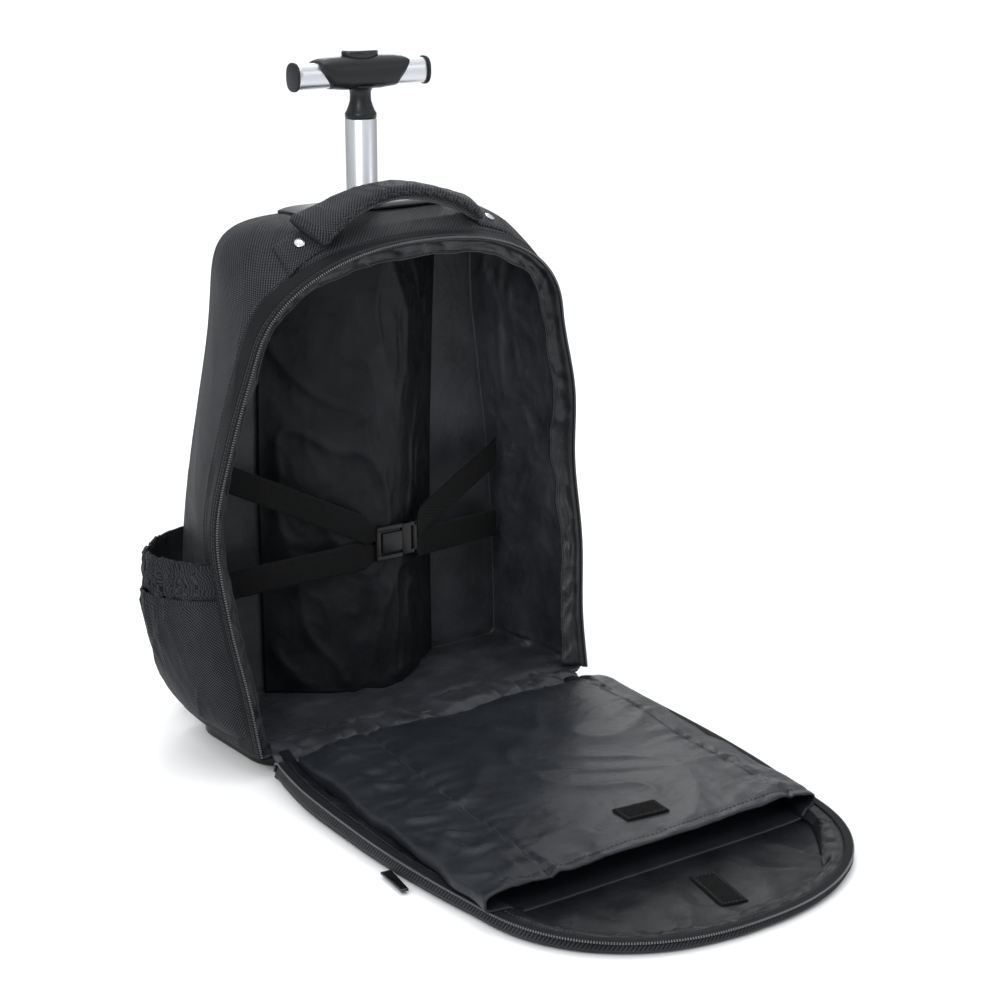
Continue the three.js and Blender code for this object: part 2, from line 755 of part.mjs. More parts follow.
function makePole() {
  add('pole_outer_tube', tube(poleRadii.outer, outerTubeZ), materials.aluminium);
  add('pole_middle_tube', tube(poleRadii.middle, middleTubeZ), materials.aluminium);
  add('pole_top_tube', tube(poleRadii.top, topTubeZ), materials.aluminium);
}

function makeBezel() {
  const columns = steps(8).map((s) => mix(-bezelHalf, bezelHalf, s));
  const lines = steps(4).map((s) => mix(...bezelY, s));
  const edge = (x, y) => {
    const across = Math.abs(x) / bezelHalf;
    const along = Math.abs(2 * (y - bezelY[0]) / (bezelY[1] - bezelY[0]) - 1);
    return Math.max(across ** 6, along ** 6);
  };
  const under = lines.map((y) => columns.map((x) => {
    return point(x, y, topAt(x, y) + gap);
  }));
  const over = lines.map((y, r) => columns.map((x, c) =>
    point(x, y, Math.max(under[r][c].z + 2, bezelTopZ - 3.5 * edge(x, y)))));
  const hole = post(poleRadii.middle + gap, bezelTopZ - 30, bezelTopZ + 20, 0, poleY);
  add('pole_bezel', fromSolid(toSolid(sheet(over, under)).subtract(toSolid(hole))), materials.plastic);
}

// The grip: an oval section across X
function ovalRing(x, low, high, depthY, count = 16, squareness = 0.8) {
  return steps(count).slice(1).map((s) => {
    const angle = s * Math.PI * 2;
    const y = poleY + depthY / 2 * power(Math.cos(angle), squareness);
    const z = mix(low, high, 0.5 + 0.5 * power(Math.sin(angle), squareness));
    return point(x, y, z);
  });
}

function arm(side, from, to, over) {
  const ring = (x) => ovalRing(side * x, gripZ - armHeight / 2 - over, gripZ + armHeight / 2 + over,
    armDepth + 2 * over);
  return loft([ring(from), ring(to)]);
}

function makeGrip() {
  const hubRows = [
    // across of hubHalf, low and drop of the hub's height, depth of hubDepth
    { across: 1.0, low: 0.66, drop: 0.10, depth: 0.84 },
    { across: 0.9, low: 0.36, drop: 0.05, depth: 0.92 },
    { across: 0.74, low: 0.05, drop: 0.02, depth: 0.98 },
    { across: 0.4, low: 0.00, drop: 0.00, depth: 1.00 },
  ];
  const height = hubTopZ - hubBottomZ;
  const ring = (side, row) => ovalRing(side * row.across * hubHalf, hubBottomZ + row.low * height,
    hubTopZ - row.drop * height, hubDepth * row.depth);
  const rings = [
    ...hubRows.map((row) => ring(-1, row)),
    ...[...hubRows].reverse().map((row) => ring(1, row)),
  ];
  const collarZ = topTubeZ[1] + gap;
  const neckProfile = [
    [0, collarZ],
    [poleRadii.top, collarZ],
    [poleRadii.top, collarZ + collarHeight],
    [mix(poleRadii.top, neckRadius, 0.6), collarZ + collarHeight * 2],
    [neckRadius, collarZ + collarHeight * 3.6],
    [neckRadius, hubBottomZ],
    [neckRadius + 2, hubBottomZ + 3],
    [0, hubBottomZ + 3],
  ].map(([r, z]) => new THREE.Vector2(r, z));
  const neck = new THREE.LatheGeometry(neckProfile, 20);
  neck.rotateX(Math.PI / 2);
  neck.translate(0, poleY, 0);
  const buttonOval = (over) => {
    const shape = new THREE.Shape();
    shape.absellipse(0, 0, buttonHalf + over, buttonDepth + over, 0, Math.PI * 2);
    return shape;
  };
  const buttonLow = hubTopZ + buttonProud - buttonHeight;
  const ovalPost = (over, tall) =>
    new THREE.ExtrudeGeometry(buttonOval(over), { depth: tall, bevelEnabled: false, curveSegments: 12 });
  const well = ovalPost(gap, buttonHeight * 5);
  well.translate(0, poleY, buttonLow - buttonTravel - gap);
  const hub = toSolid(loft(rings)).add(toSolid(neck))
    .subtract(toSolid(arm(-1, armInner - gap, armLength, gap)))
    .subtract(toSolid(arm(1, armInner - gap, armLength, gap)))
    .subtract(toSolid(well));
  add('grip_hub', fromSolid(hub), materials.grip);
  const button = ovalPost(0, buttonHeight);
  button.translate(0, poleY, buttonLow);
  add('push_button', button, materials.plastic);
  for (const [side, word] of [[-1, 'left'], [1, 'right']]) {
    add(`grip_arm_${word}`, arm(side, armInner, armLength - capThick, 0), materials.aluminium);
    add(`grip_cap_${word}`, arm(side, armLength - capThick + gap, armLength, capOver), materials.grip);
  }
}

// The padded carry handle on the top, its sewn ends and their rivets

function makeCarryHandle() {
  const seat = (side) =>
    topAt(carryX + side * carryHalf, carryY) + anchorThick + carryThick * carryEnd / 2 + 3 * gap;
  const path = (across) => {
    const low = mix(seat(-1), seat(1), across / 2 + 0.5);
    const lift = carryTopZ - carryThick / 2 - low;
    return point(carryX + across * carryHalf, carryY, low + lift * (1 - Math.abs(across) ** 1.8));
  };
  const ringAt = (s) => {
    const across = mix(-1, 1, s);
    const middle = path(across);
    const run = path(Math.min(1, across + 0.02)).sub(path(Math.max(-1, across - 0.02)));
    const normal = point(-run.z, 0, run.x).normalize();
    const side = Math.sign(across) * Math.min(Math.abs(across), 1);
    const x = carryX + side * carryHalf;
    const tilt = (topAt(x, carryY + 10) - topAt(x, carryY - 10)) / 20 * Math.abs(across) ** 3;
    const end = Math.min(1, (1 - Math.abs(across)) * 6 + carryEnd);
    return steps(12).slice(1).map((q) => {
      const angle = q * Math.PI * 2;
      const out = carryThick / 2 * end * power(Math.sin(angle), 0.8);
      const y = carryWidth / 2 * mix(1, end, 0.4) * power(Math.cos(angle), 0.6);
      return middle.clone().addScaledVector(normal, out + y * tilt).add(point(0, y, 0));
    });
  };
  add('carry_handle', loft(steps(16).map(ringAt)), materials.twill);
  for (const [side, word] of [[-1, 'left'], [1, 'right']]) {
    const grid = (lift) => steps(3).map((s) => steps(2).map((q) => {
      const x = side * (anchorX + mix(-0.7, 0.6, s) * anchorLength);
      const y = anchorY + mix(-0.5, 0.5, q) * anchorWidth;
      return point(x, y, topAt(x, y) + 1.5 * gap + lift);
    }));
    add(`handle_anchor_${word}`, sheet(grid(anchorThick), grid(0)), materials.twill);
    const x = side * anchorX;
    const fall = Math.atan2(topAt(x - 3, anchorY) - topAt(x + 3, anchorY), 6);
    const lean = Math.atan2(topAt(x, anchorY + 3) - topAt(x, anchorY - 3), 6);
    const profile = [[0, 0], [rivetRadius, 0], [rivetRadius, 0.5], [rivetRadius * 0.7, 1.6], [0, 2.1]]
      .map(([r, z]) => new THREE.Vector2(r, z));
    const rivet = new THREE.LatheGeometry(profile, 16);
    rivet.rotateX(Math.PI / 2);
    rivet.rotateX(lean);
    rivet.rotateY(fall);
    rivet.translate(x, anchorY, topAt(x, anchorY) + anchorThick + 4 * gap);
    add(`handle_rivet_${word}`, rivet, materials.steel);
  }
}

// The base plate, the wheels and their housings

function makeBase() {
  const [front, back] = basePlateY;
  const r = basePlateCorner;
  const bevel = 2;
  const x = basePlateHalf - bevel;
  const y = [front + bevel, back - bevel];
  const shape = new THREE.Shape();
  shape.moveTo(x - r, y[0]);
  shape.absarc(x - r, y[0] + r, r, -Math.PI / 2, 0);
  shape.absarc(x - r, y[1] - r, r, 0, Math.PI / 2);
  shape.absarc(r - x, y[1] - r, r, Math.PI / 2, Math.PI);
  shape.absarc(r - x, y[0] + r, r, Math.PI, Math.PI * 1.5);
  const thick = bodyBottomZ - gap;
  const plate = new THREE.ExtrudeGeometry(shape, {
    depth: thick - 2 * bevel, bevelSize: bevel, bevelThickness: bevel, bevelSegments: 1, curveSegments: 5,
  });
  plate.translate(0, 0, bevel);
  add('base_plate', plate, materials.plastic);
}

function makeWheels() {
  const axleZ = wheelRadius + gap;
  const inner = wheelWidth / 2 + wheelRunning;
  const face = backFaceY(wheelRadius * 2) + gap;
  const wheelY = face + housingWall + wheelRunning + wheelRadius;
  for (const [side, word] of [[-1, 'left'], [1, 'right']]) {
    const x = side * wheelX;
    const half = inner + housingWall;
    const reach = wheelRadius + wheelRunning + housingWall;
    const shape = new THREE.Shape();
    shape.moveTo(face, bodyBottomZ);
    shape.lineTo(wheelY + reach * 0.72, bodyBottomZ);
    shape.lineTo(wheelY + reach * 0.92, axleZ);
    shape.absarc(wheelY, axleZ, reach * 0.92, 0, Math.PI / 2);
    shape.lineTo(face, axleZ + reach + housingReach);
    const body = new THREE.ExtrudeGeometry(shape, { depth: half * 2, bevelEnabled: false, curveSegments: 8 });
    body.rotateX(Math.PI / 2);
    body.rotateZ(Math.PI / 2);
    body.translate(x - half, 0, 0);
    const well = crossPost(wheelRadius + wheelRunning, x - inner, x + inner, wheelY, axleZ, 28);
    const mouth = block([x - inner, wheelY - wheelRadius - wheelRunning, -10],
      [x + inner, wheelY + reach + 10, axleZ + 6]);
    const bore = crossPost(axleRadius + gap, x - half - 1, x + half + 1, wheelY, axleZ, 16);
    const housing = toSolid(body).subtract(toSolid(well)).subtract(toSolid(mouth)).subtract(toSolid(bore));
    add(`wheel_housing_${word}`, fromSolid(housing), materials.plastic);

    const w = wheelWidth / 2;
    const profile = [
      [axleRadius + gap, -w], [wheelRadius * 0.72, -w], [wheelRadius * 0.93, -w + 1.5],
      [wheelRadius, -w + 5], [wheelRadius, w - 5], [wheelRadius * 0.93, w - 1.5],
      [wheelRadius * 0.72, w], [axleRadius + gap, w], [axleRadius + gap, -w],
    ].map(([r, z]) => new THREE.Vector2(r, z));
    const wheel = new THREE.LatheGeometry(profile, 28);
    wheel.rotateZ(Math.PI / 2);
    wheel.translate(x, wheelY, axleZ);
    add(`wheel_${word}`, wheel, materials.rubber);
    const axle = crossPost(axleRadius, x - half + 0.5, x + half - 0.5, wheelY, axleZ, 16);
    add(`wheel_axle_${word}`, axle, materials.steel);
  }
}

// The back: a padded panel and two plain shoulder straps

function makeBackPad() {
  const [low, high] = backPadZ;
  const rows = (outer) => steps(8).map((s) => steps(8).map((q) => {
    const x = mix(-backPadHalf, backPadHalf, q) * (1 - 0.08 * Math.abs(2 * s - 1) ** 4);
    const z = mix(low, high, s);
    const edge = (1 - Math.abs(2 * q - 1) ** 6) * (1 - Math.abs(2 * s - 1) ** 6);
    return point(x, backFaceY(z) + padSeat + (outer ? mix(3, backPadThick, edge) : 0), z);
  }));
  add('back_pad', sheet(rows(true), rows(false)), materials.mesh);
}

function makeShoulderStraps() {
  const seat = (z) => backFaceY(z) + padSeat + backPadThick + gap + 0.2;
  const [topZ, endZ] = shoulderZ;
  for (const [side, word] of [[-1, 'left'], [1, 'right']]) {
    const rows = (outer) => steps(7).map((s) => {
      const z = mix(topZ, endZ, s);
      const middle = side * mix(shoulderTopX, shoulderEndX, s ** 1.4);
      const half = shoulderWidth / 2 * mix(1, 0.72, s);
      return steps(4).map((q) => {
        const edge = 1 - Math.abs(2 * q - 1) ** 4;
        const y = seat(z) + (outer ? mix(3, shoulderThick, edge) : 0);
        return point(middle + mix(-half, half, q), y, z);
      });
    });
    add(`shoulder_strap_${word}`, sheet(rows(true), rows(false)), materials.mesh);
    const end = { x: side * shoulderEndX, z: endZ - gap };
    const foot = { x: side * shoulderFootX, z: shoulderFootZ };
    const length = Math.hypot(foot.x - end.x, foot.z - end.z);
    const across = point((end.z - foot.z) / length, 0, (foot.x - end.x) / length);
    const tail = (lift) => steps(3).map((s) => [-1, 1].map((q) => {
      const z = mix(end.z - 3.4, foot.z, s);
      const y = seat(z) + 2 + lift;
      return point(mix(end.x, foot.x, s), y, z).addScaledVector(across, q * webbing / 2);
    }));
    add(`shoulder_webbing_${word}`, sheet(tail(webbingThick), tail(0)), materials.webbing);
  }
}

makeBodyShell();
makeOpening();
makeHingeWeb();
makeFrontPanel();
makeLaptopSleeve();
makePanelPatches();
makePullTab();
makeSidePocket();
makePoleCover();
makeCompressionStraps();
makePole();
makeBezel();
makeGrip();
makeCarryHandle();
makeBase();
makeWheels();
makeBackPad();
makeShoulderStraps();

export default model;
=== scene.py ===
# A wheeled backpack that stands open: its front panel is unzipped and lies on the floor.
# Shapes are worked out in millimetres in the part's frame and set down in metres.

import math

import bmesh
import bpy
import numpy as np
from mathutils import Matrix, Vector


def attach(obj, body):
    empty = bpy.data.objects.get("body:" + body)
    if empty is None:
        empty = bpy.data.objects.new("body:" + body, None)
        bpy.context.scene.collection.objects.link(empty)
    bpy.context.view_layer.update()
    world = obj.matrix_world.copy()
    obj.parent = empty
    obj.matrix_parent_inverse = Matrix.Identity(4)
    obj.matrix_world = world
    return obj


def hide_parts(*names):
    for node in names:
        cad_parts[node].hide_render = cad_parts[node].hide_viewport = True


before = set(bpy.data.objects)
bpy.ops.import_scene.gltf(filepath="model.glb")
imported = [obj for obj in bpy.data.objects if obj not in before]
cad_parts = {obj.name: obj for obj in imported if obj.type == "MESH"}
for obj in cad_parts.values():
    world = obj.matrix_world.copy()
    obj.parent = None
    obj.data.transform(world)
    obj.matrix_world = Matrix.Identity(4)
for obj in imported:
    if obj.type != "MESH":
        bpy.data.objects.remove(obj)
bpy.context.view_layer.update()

# Driving sizes in millimetres; those of the pieces are as in the part

GAP = 0.3
HALF_WIDTH = 187
OPENING_HEIGHT = 410
DEPTH = 145
FRONT_Y = -72
BASE_SEAM_Z = 22
BODY_BOTTOM_Z = 16
CLOTH = 3
BACK_WALL = 12
CROWN_RISE = 14
BACK_RISE = 12
FRONT_ROUND = 2.3
BACK_ROUND = 5.5
CORNER_CUT = 8
ZIP_WIDTH = 8
ARCH_START = 0.8
INSIDE = 1 - BACK_WALL / DEPTH
GUSSET = 0.17            # share of the depth that the plain strip beside the zip takes

PANEL_HALF = 173
PANEL_LENGTH = 440
PANEL_HINGE_Y = -61.6
PANEL_TURN = -0.044
PANEL_ARCH_START = 0.72
RIM_HINGE, RIM_TIP = 20, 8
RIM_WIDTH, RIM_FOOT = 15, 6
FLOOR_HINGE, FLOOR_TIP = 6, 4

SLEEVE_HALF = 158
SLEEVE_LENGTH = 306
SLEEVE_START = 25
SLEEVE_END = SLEEVE_START + SLEEVE_LENGTH
SLEEVE_OFFSET = 11
SLEEVE_DRIFT = 0.055
SLEEVE_TOP = 31
SLEEVE_SEAMS = ((-84, -106), (146, 124))    # at its closed end and at its mouth
HEM_ALONG = SLEEVE_END - 10
LOOP_X, LOOP_ALONG = 10, SLEEVE_START + 0.853 * SLEEVE_LENGTH
HOOK_X, HOOK_ALONG = 6, SLEEVE_END + 0.47 * (PANEL_LENGTH - SLEEVE_END)
PULL_SHARE = 0.53                           # of the panel's length, where the zip pull lies

POCKET_Z = (34, 150)
POCKET_BULGE = 44
POCKET_SHARES = (0.06, 0.925)
CASING_HEIGHT = 30

POLE_Y = 24
POLE_RADII = {"outer": 16.5, "middle": 15, "top": 13.25}
BEZEL_HALF, BEZEL_Y, BEZEL_TOP_Z = 70, (4, 46), 452
COVER_HALF = 90
COVER_TOP_Z = 408

CARRY_HALF, CARRY_X, CARRY_Y, CARRY_TOP_Z = 83, -5, -27, 474
CARRY_WIDTH, CARRY_THICK, CARRY_END = 40, 14, 0.62
ANCHOR_X, ANCHOR_Y, ANCHOR_LENGTH, ANCHOR_WIDTH, ANCHOR_THICK = 95, -28, 30, 26, 2.5
RIVET_RADIUS = 4.6

WHEEL_RADIUS, WHEEL_WIDTH, WHEEL_X = 26, 24, 127
PAD_SEAT = 0.8
PAD_HALF, PAD_Z, PAD_THICK = 122, (84, 396), 14
SHOULDER_X, SHOULDER_Z, SHOULDER_HALF = (48, 84), (388, 190), 29
SHOULDER_SEAT = PAD_SEAT + 14.5
WEB_WIDTH, WEB_THICK = 25, 1.5
WEB_START, WEB_END = (84, 186.3), (112, 84)      # across and up, where the shoulder webbing runs

STRAP_X = 150
BUCKLE_X, BUCKLE_Y, BUCKLE_Z = 12.5, 0.4, 156
BUCKLE_HALF, BUCKLE_RISE, BUCKLE_SPLIT = 21.5, 15.5, 5.2
GRIP_LOW, GRIP_HIGH, GRIP_HALF, GRIP_DEEP = 545, 572.5, 43, 27
ARM_Z, ARM_THICK, ARM_DEEP, ARM_X = 557.5, 21, 17, (21, 64)
BUTTON_HALF = (17, 9.5)

# Points along the body's arch, along its floor and along a line that teeth or stitches follow

ARCH_POINTS, FLOOR_POINTS, EVEN = 361, 41, 1201
UP, FORWARD = (0, 0, 1), (0, -1, 0)
SIDES = ((-1, "left"), (1, "right"))

# Tables: lengths are shares of the named size that each column names

BODY_ROWS = np.array([
    # height; front, middle and back width, lean; front and back setback
    [0.00, 0.928, 0.930, 0.890, 0.000, 0.000, 1.000],
    [0.12, 0.945, 0.940, 0.885, 0.000, 0.078, 1.000],
    [0.28, 0.990, 0.945, 0.870, 0.000, 0.163, 0.993],
    [0.45, 0.997, 0.930, 0.830, 0.000, 0.251, 0.980],
    [0.62, 0.947, 0.885, 0.765, 0.015, 0.203, 0.960],
    [0.80, 0.836, 0.810, 0.700, 0.034, 0.179, 0.930],
    [1.00, 0.740, 0.770, 0.680, 0.034, 0.046, 0.890],
])
FRONT, MIDDLE, BACK, LEAN, FRONT_SET, BACK_SET = range(1, 7)

PANEL_ROWS = np.array([
    # along, width
    [0.00, 0.895], [0.10, 0.958], [0.21, 0.994], [0.39, 1.000],
    [0.51, 0.988], [0.62, 0.960], [0.72, 0.925], [1.00, 0.860],
])
RIM_ROWS = np.array([[0, 1], [0.25, 0.8], [0.5, 0.54], [0.75, 0.27], [1, 0]])
TRAY_SECTIONS = np.array([
    # inset of the rim's width, share of its height
    [0.45, 0.00], [0.05, 0.18], [-0.10, 0.55], [0.05, 0.95], [0.50, 1.00], [1.00, 0.88],
])
POCKET_ROWS = np.array([
    # height, bulge
    [0, 0.08], [0.06, 0.28], [0.16, 0.5], [0.32, 0.72], [0.55, 0.9], [0.8, 1], [1, 0.98],
])
SLEEVE_ROWS = np.array([
    # along, share of the full height
    [0, 0.15], [0.025, 0.7], [0.07, 1], [0.5, 0.97], [1, 0.94],
])
POLE_TUBES = [
    # stage, body, low and high end
    ("outer", "bag", 20, 430), ("middle", "pole_middle", 30, 452), ("top", "pole_top", 98, 521),
]
GRIP_ROWS = np.array([
    # across, low, drop, depth
    [0.0, 0.00, 0.00, 1.00], [0.4, 0.00, 0.00, 1.00], [0.74, 0.05, 0.02, 0.98],
    [0.9, 0.36, 0.05, 0.92], [1.0, 0.66, 0.10, 0.84],
])
STRAP_ROWS = [
    # name, side, height of the seam and of the buckle's end, layer at the buckle
    ("compression_strap_left_upper", -1, 238, 166, 1),
    ("compression_strap_left_lower", -1, 134, 148, 0),
    ("compression_strap_right_upper", 1, 208, 164, 1),
    ("compression_strap_right_lower", 1, 138, 147, 0),
]

# Small helpers


def mix(a, b, t):
    return a + (b - a) * t


def power(value, exponent):
    return np.sign(value) * np.abs(value) ** exponent


def step(low, high, at):
    """From 0 to 1 between two values, smoothly."""
    t = np.clip((at - low) / (high - low), 0, 1)
    return t * t * (3 - 2 * t)


def bump(at, middle, width):
    return np.exp(-(((at - middle) / width) ** 2))


def table_value(rows, column, at):
    """A smooth curve through a table's rows."""
    keys, values = rows[:, 0], rows[:, column]
    last = len(keys) - 1
    before, after = np.maximum(np.arange(last + 1) - 1, 0), np.minimum(np.arange(last + 1) + 1, last)
    slopes = (values[after] - values[before]) / (keys[after] - keys[before])
    at = np.clip(at, keys[0], keys[-1])
    i = np.clip(np.searchsorted(keys, at) - 1, 0, last - 1)
    span = keys[i + 1] - keys[i]
    t = (at - keys[i]) / span
    return (
        values[i] * (2 * t**3 - 3 * t**2 + 1)
        + values[i + 1] * (3 * t**2 - 2 * t**3)
        + slopes[i] * span * (t**3 - 2 * t**2 + t)
        + slopes[i + 1] * span * (t**3 - t**2)
    )


def through(start, middle, end, t):
    """The curve through three values at 0, 1/2 and 1."""
    return start * (2 * t - 1) * (t - 1) + middle * 4 * t * (1 - t) + end * t * (2 * t - 1)


def points(x, y, z):
    return np.stack(np.broadcast_arrays(x, y, z), -1).astype(float)


def spread(down, across):
    """A column and a row of even values, each from its low, high and count."""
    return np.linspace(*down)[:, None], np.linspace(*across)[None, :]


def circle(sides):
    return np.linspace(0, 2 * math.pi, sides, endpoint=False)


def unit(ways):
    return ways / np.maximum(np.linalg.norm(ways, axis=-1, keepdims=True), 1e-9)


def lengths(line):
    """The distance along a line of points to each of them."""
    return np.concatenate([[0], np.cumsum(np.linalg.norm(np.diff(line, axis=0), axis=1))])


def interpolate(wanted, at, rows):
    return np.stack([np.interp(wanted, at, rows[:, k]) for k in range(3)], -1)


def resample(line, count):
    """Evenly spaced points along a line."""
    at = lengths(line)
    return interpolate(np.linspace(0, at[-1], count), at, line)


def run_of(line):
    """Unit steps along a line of points."""
    return unit(np.gradient(line, axis=0))


def noise(u, v, seed):
    """Smooth values from -1 to 1 over a lattice of unit cells."""
    lattice = np.random.default_rng(seed).uniform(-1, 1, (64, 64))
    u, v = np.broadcast_arrays(u, v)
    i, j = np.floor(u).astype(int), np.floor(v).astype(int)
    s, t = step(0, 1, u - i), step(0, 1, v - j)
    low = mix(lattice[i % 64, j % 64], lattice[(i + 1) % 64, j % 64], s)
    high = mix(lattice[i % 64, (j + 1) % 64], lattice[(i + 1) % 64, (j + 1) % 64], s)
    return mix(low, high, t)


def creases(u, v, seed, sharp=2.5):
    """Soft ridges from 0 to 1, as cloth makes where it gives."""
    wander = noise(u * 0.5, v * 0.5, seed + 1)
    return (1 - np.abs(noise(u + wander, v - wander, seed))) ** sharp


# From grids of points to objects: a row runs along, a column across


def normals(grid, wrap=False):
    across = np.roll(grid, -1, 1) - np.roll(grid, 1, 1) if wrap else np.gradient(grid, axis=1)
    return unit(np.cross(np.gradient(grid, axis=0), across))


def metric_uv(grid, wrap):
    """Distances across and along a grid from its middle, in metres, so that weaves keep their size."""
    if wrap:
        grid = np.concatenate([grid, grid[:, :1]], 1)
    u = np.zeros(grid.shape[:2])
    v = np.zeros(grid.shape[:2])
    u[:, 1:] = np.cumsum(np.linalg.norm(np.diff(grid, axis=1), axis=2), 1)
    v[1:] = np.cumsum(np.linalg.norm(np.diff(grid, axis=0), axis=2), 0)
    return np.stack([u - u[:, -1:] / 2, v], -1) / 1000


def side_of(grid, wrap, first, flip, paint):
    """The faces of one side of a grid with their UVs and materials."""
    rows, cols = grid.shape[:2]
    r, c = np.meshgrid(np.arange(rows - 1), np.arange(cols if wrap else cols - 1), indexing="ij")
    r, c = r.ravel(), c.ravel()
    after = (c + 1) % cols
    faces = np.stack([r * cols + c, (r + 1) * cols + c, (r + 1) * cols + after, r * cols + after], 1)
    uv = metric_uv(grid, wrap)
    corners = np.stack([uv[r, c], uv[r + 1, c], uv[r + 1, c + 1], uv[r, c + 1]], 1)
    if flip:
        faces, corners = faces[:, ::-1], corners[:, ::-1]
    return (faces + first).tolist(), corners.reshape(-1, 2).tolist(), paint[r, c].tolist()


def spot_uv(point):
    return ((point[[0, 2]] + point[[1, 1]]) / 1000).tolist()


def make(name, vertices, faces, uv, paint, materials, body, covers=(), smooth=True):
    """A mesh object on a body, its points in millimetres."""
    mesh = bpy.data.meshes.new(name)
    mesh.from_pydata((np.asarray(vertices) / 1000).tolist(), [], faces)
    if uv is not None:
        layer = mesh.uv_layers.new(name="UVMap")
        layer.data.foreach_set("uv", np.asarray(uv, float).ravel())
    for material in materials:
        mesh.materials.append(material)
    if paint is not None:
        mesh.polygons.foreach_set("material_index", paint)
    mesh.polygons.foreach_set("use_smooth", [smooth] * len(faces))
    mesh.update()
    made = bpy.data.objects.new(name, mesh)
    bpy.context.scene.collection.objects.link(made)
    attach(made, body)
    if covers:
        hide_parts(*covers)
    return made


def lay(name, grid, materials, thick=0, inner=None, wrap=False, caps=False, body="bag",
        covers=(), paint=None):
    """A grid as a thin closed body of that thickness, or as the skin of a solid one."""
    rows, cols = grid.shape[:2]
    materials = materials if isinstance(materials, list) else [materials]
    paint = np.zeros((rows, cols), int) if paint is None else paint
    faces, uv, shades = side_of(grid, wrap, 0, False, paint)
    vertices = [grid.reshape(-1, 3)]
    if thick or inner is not None:
        under = grid - normals(grid, wrap) * thick if inner is None else inner
        vertices.append(under.reshape(-1, 3))
        more, more_uv, more_shades = side_of(under, wrap, rows * cols, True, paint)
        faces, uv, shades = faces + more, uv + more_uv, shades + more_shades
        if wrap:
            edges = [((0, c), (0, (c + 1) % cols)) for c in range(cols)]
            edges += [((rows - 1, (c + 1) % cols), (rows - 1, c)) for c in range(cols)]
        else:
            ring = [(0, c) for c in range(cols)] + [(r, cols - 1) for r in range(1, rows)]
            ring += [(rows - 1, c) for c in range(cols - 2, -1, -1)]
            ring += [(r, 0) for r in range(rows - 2, 0, -1)]
            edges = list(zip(ring, ring[1:] + ring[:1]))
        below = rows * cols
        for (a, b), (c, d) in edges:
            one, two = a * cols + b, c * cols + d
            faces.append([one, two, two + below, one + below])
            uv += [spot_uv(grid[a, b])] * 4
            shades.append(int(paint[min(a, rows - 2), min(b, cols - 1)]))
    if caps:
        for r, flip in ((0, False), (rows - 1, True)):
            face = [r * cols + c for c in range(cols)]
            faces.append(face[::-1] if flip else face)
            uv += [spot_uv(grid[r, c]) for c in range(cols)]
            shades.append(0)
    return make(name, np.concatenate(vertices), faces, uv, shades, materials, body, covers)


def cloth(grid, wrap=False):
    """Works out the width, length and area that a sheet lies flat at; nothing is done with them."""
    grid = np.concatenate([grid, grid[:, :1]], 1) if wrap else grid
    across = np.linalg.norm(np.diff(grid, axis=1), axis=2)
    along = np.linalg.norm(np.diff(grid, axis=0), axis=2)
    width, length = across.sum(1).max() / 1000, along.sum(0).max() / 1000
    area = (across[1:] * (along[:, 1:] + along[:, :-1]) / 2).sum() / 1e6
    area = min(max(area, 0.31 * width * length), width * length)


def cord(name, line, radius, material, sides=10, up=UP, covers=(), lay_length=0.0):
    """A round cord along a line, or a two-strand rope with that lay."""
    run = run_of(line)
    side = unit(np.cross(run, np.asarray(up, float)))
    other = np.cross(run, side)
    angle = circle(sides)
    radius = np.broadcast_to(radius, len(line))[:, None, None]
    if lay_length:
        turn = lengths(line)[:, None] / lay_length * 2 * math.pi
        radius = radius * (1 + 0.3 * np.cos(2 * angle[None, :] - turn))[..., None]
    ring = side[:, None] * np.cos(angle)[None, :, None] + other[:, None] * np.sin(angle)[None, :, None]
    lay(name, line[:, None] - radius * ring, material, wrap=True, caps=True, covers=covers)


def bricks(name, line, facing, size, material, pitch, covers=(), lift=0.0):
    """Small blocks of one size in a row along a line, such as stitches or teeth.

    size is along, across and out; facing gives the way out, at each point or at all of them.
    """
    at = lengths(line)
    count = max(2, int(at[-1] / pitch))
    wanted = (np.arange(count) + 0.5) * at[-1] / count
    spot = interpolate(wanted, at, line)
    run = run_of(spot)
    across = unit(np.cross(unit(interpolate(wanted, at, np.broadcast_to(facing, line.shape))), run))
    out = np.cross(run, across)
    corner = np.array([[a, b, c] for c in (0, 1) for b in (-0.5, 0.5) for a in (-0.5, 0.5)])
    narrow = np.where(corner[:, 2:] > 0, 0.62, 1.0)
    corner = corner * np.concatenate([narrow, narrow, np.ones_like(narrow)], 1) * np.asarray(size)
    vertices = (
        spot[:, None]
        + run[:, None] * corner[None, :, :1]
        + across[:, None] * corner[None, :, 1:2]
        + out[:, None] * (corner[None, :, 2:] + lift)
    ).reshape(-1, 3)
    box = np.array([[0, 2, 3, 1], [4, 5, 7, 6], [0, 1, 5, 4], [2, 6, 7, 3], [0, 4, 6, 2], [1, 3, 7, 5]])
    faces = (box[None] + 8 * np.arange(count)[:, None, None]).reshape(-1, 4).tolist()
    make(name, vertices, faces, None, None, [material], "bag", covers, smooth=False)


def stitches(name, line, out, size=(2.2, 0.5, 0.35), pitch=3.4, count=None, material=None,
             covers=(), lift=0.0):
    """A row of stitches along a line, which is made even first where a count is given."""
    if count:
        line, out = resample(line, count), resample(line + out, count) - resample(line, count)
    bricks(name, line, out, size, material or thread, pitch, covers, lift)


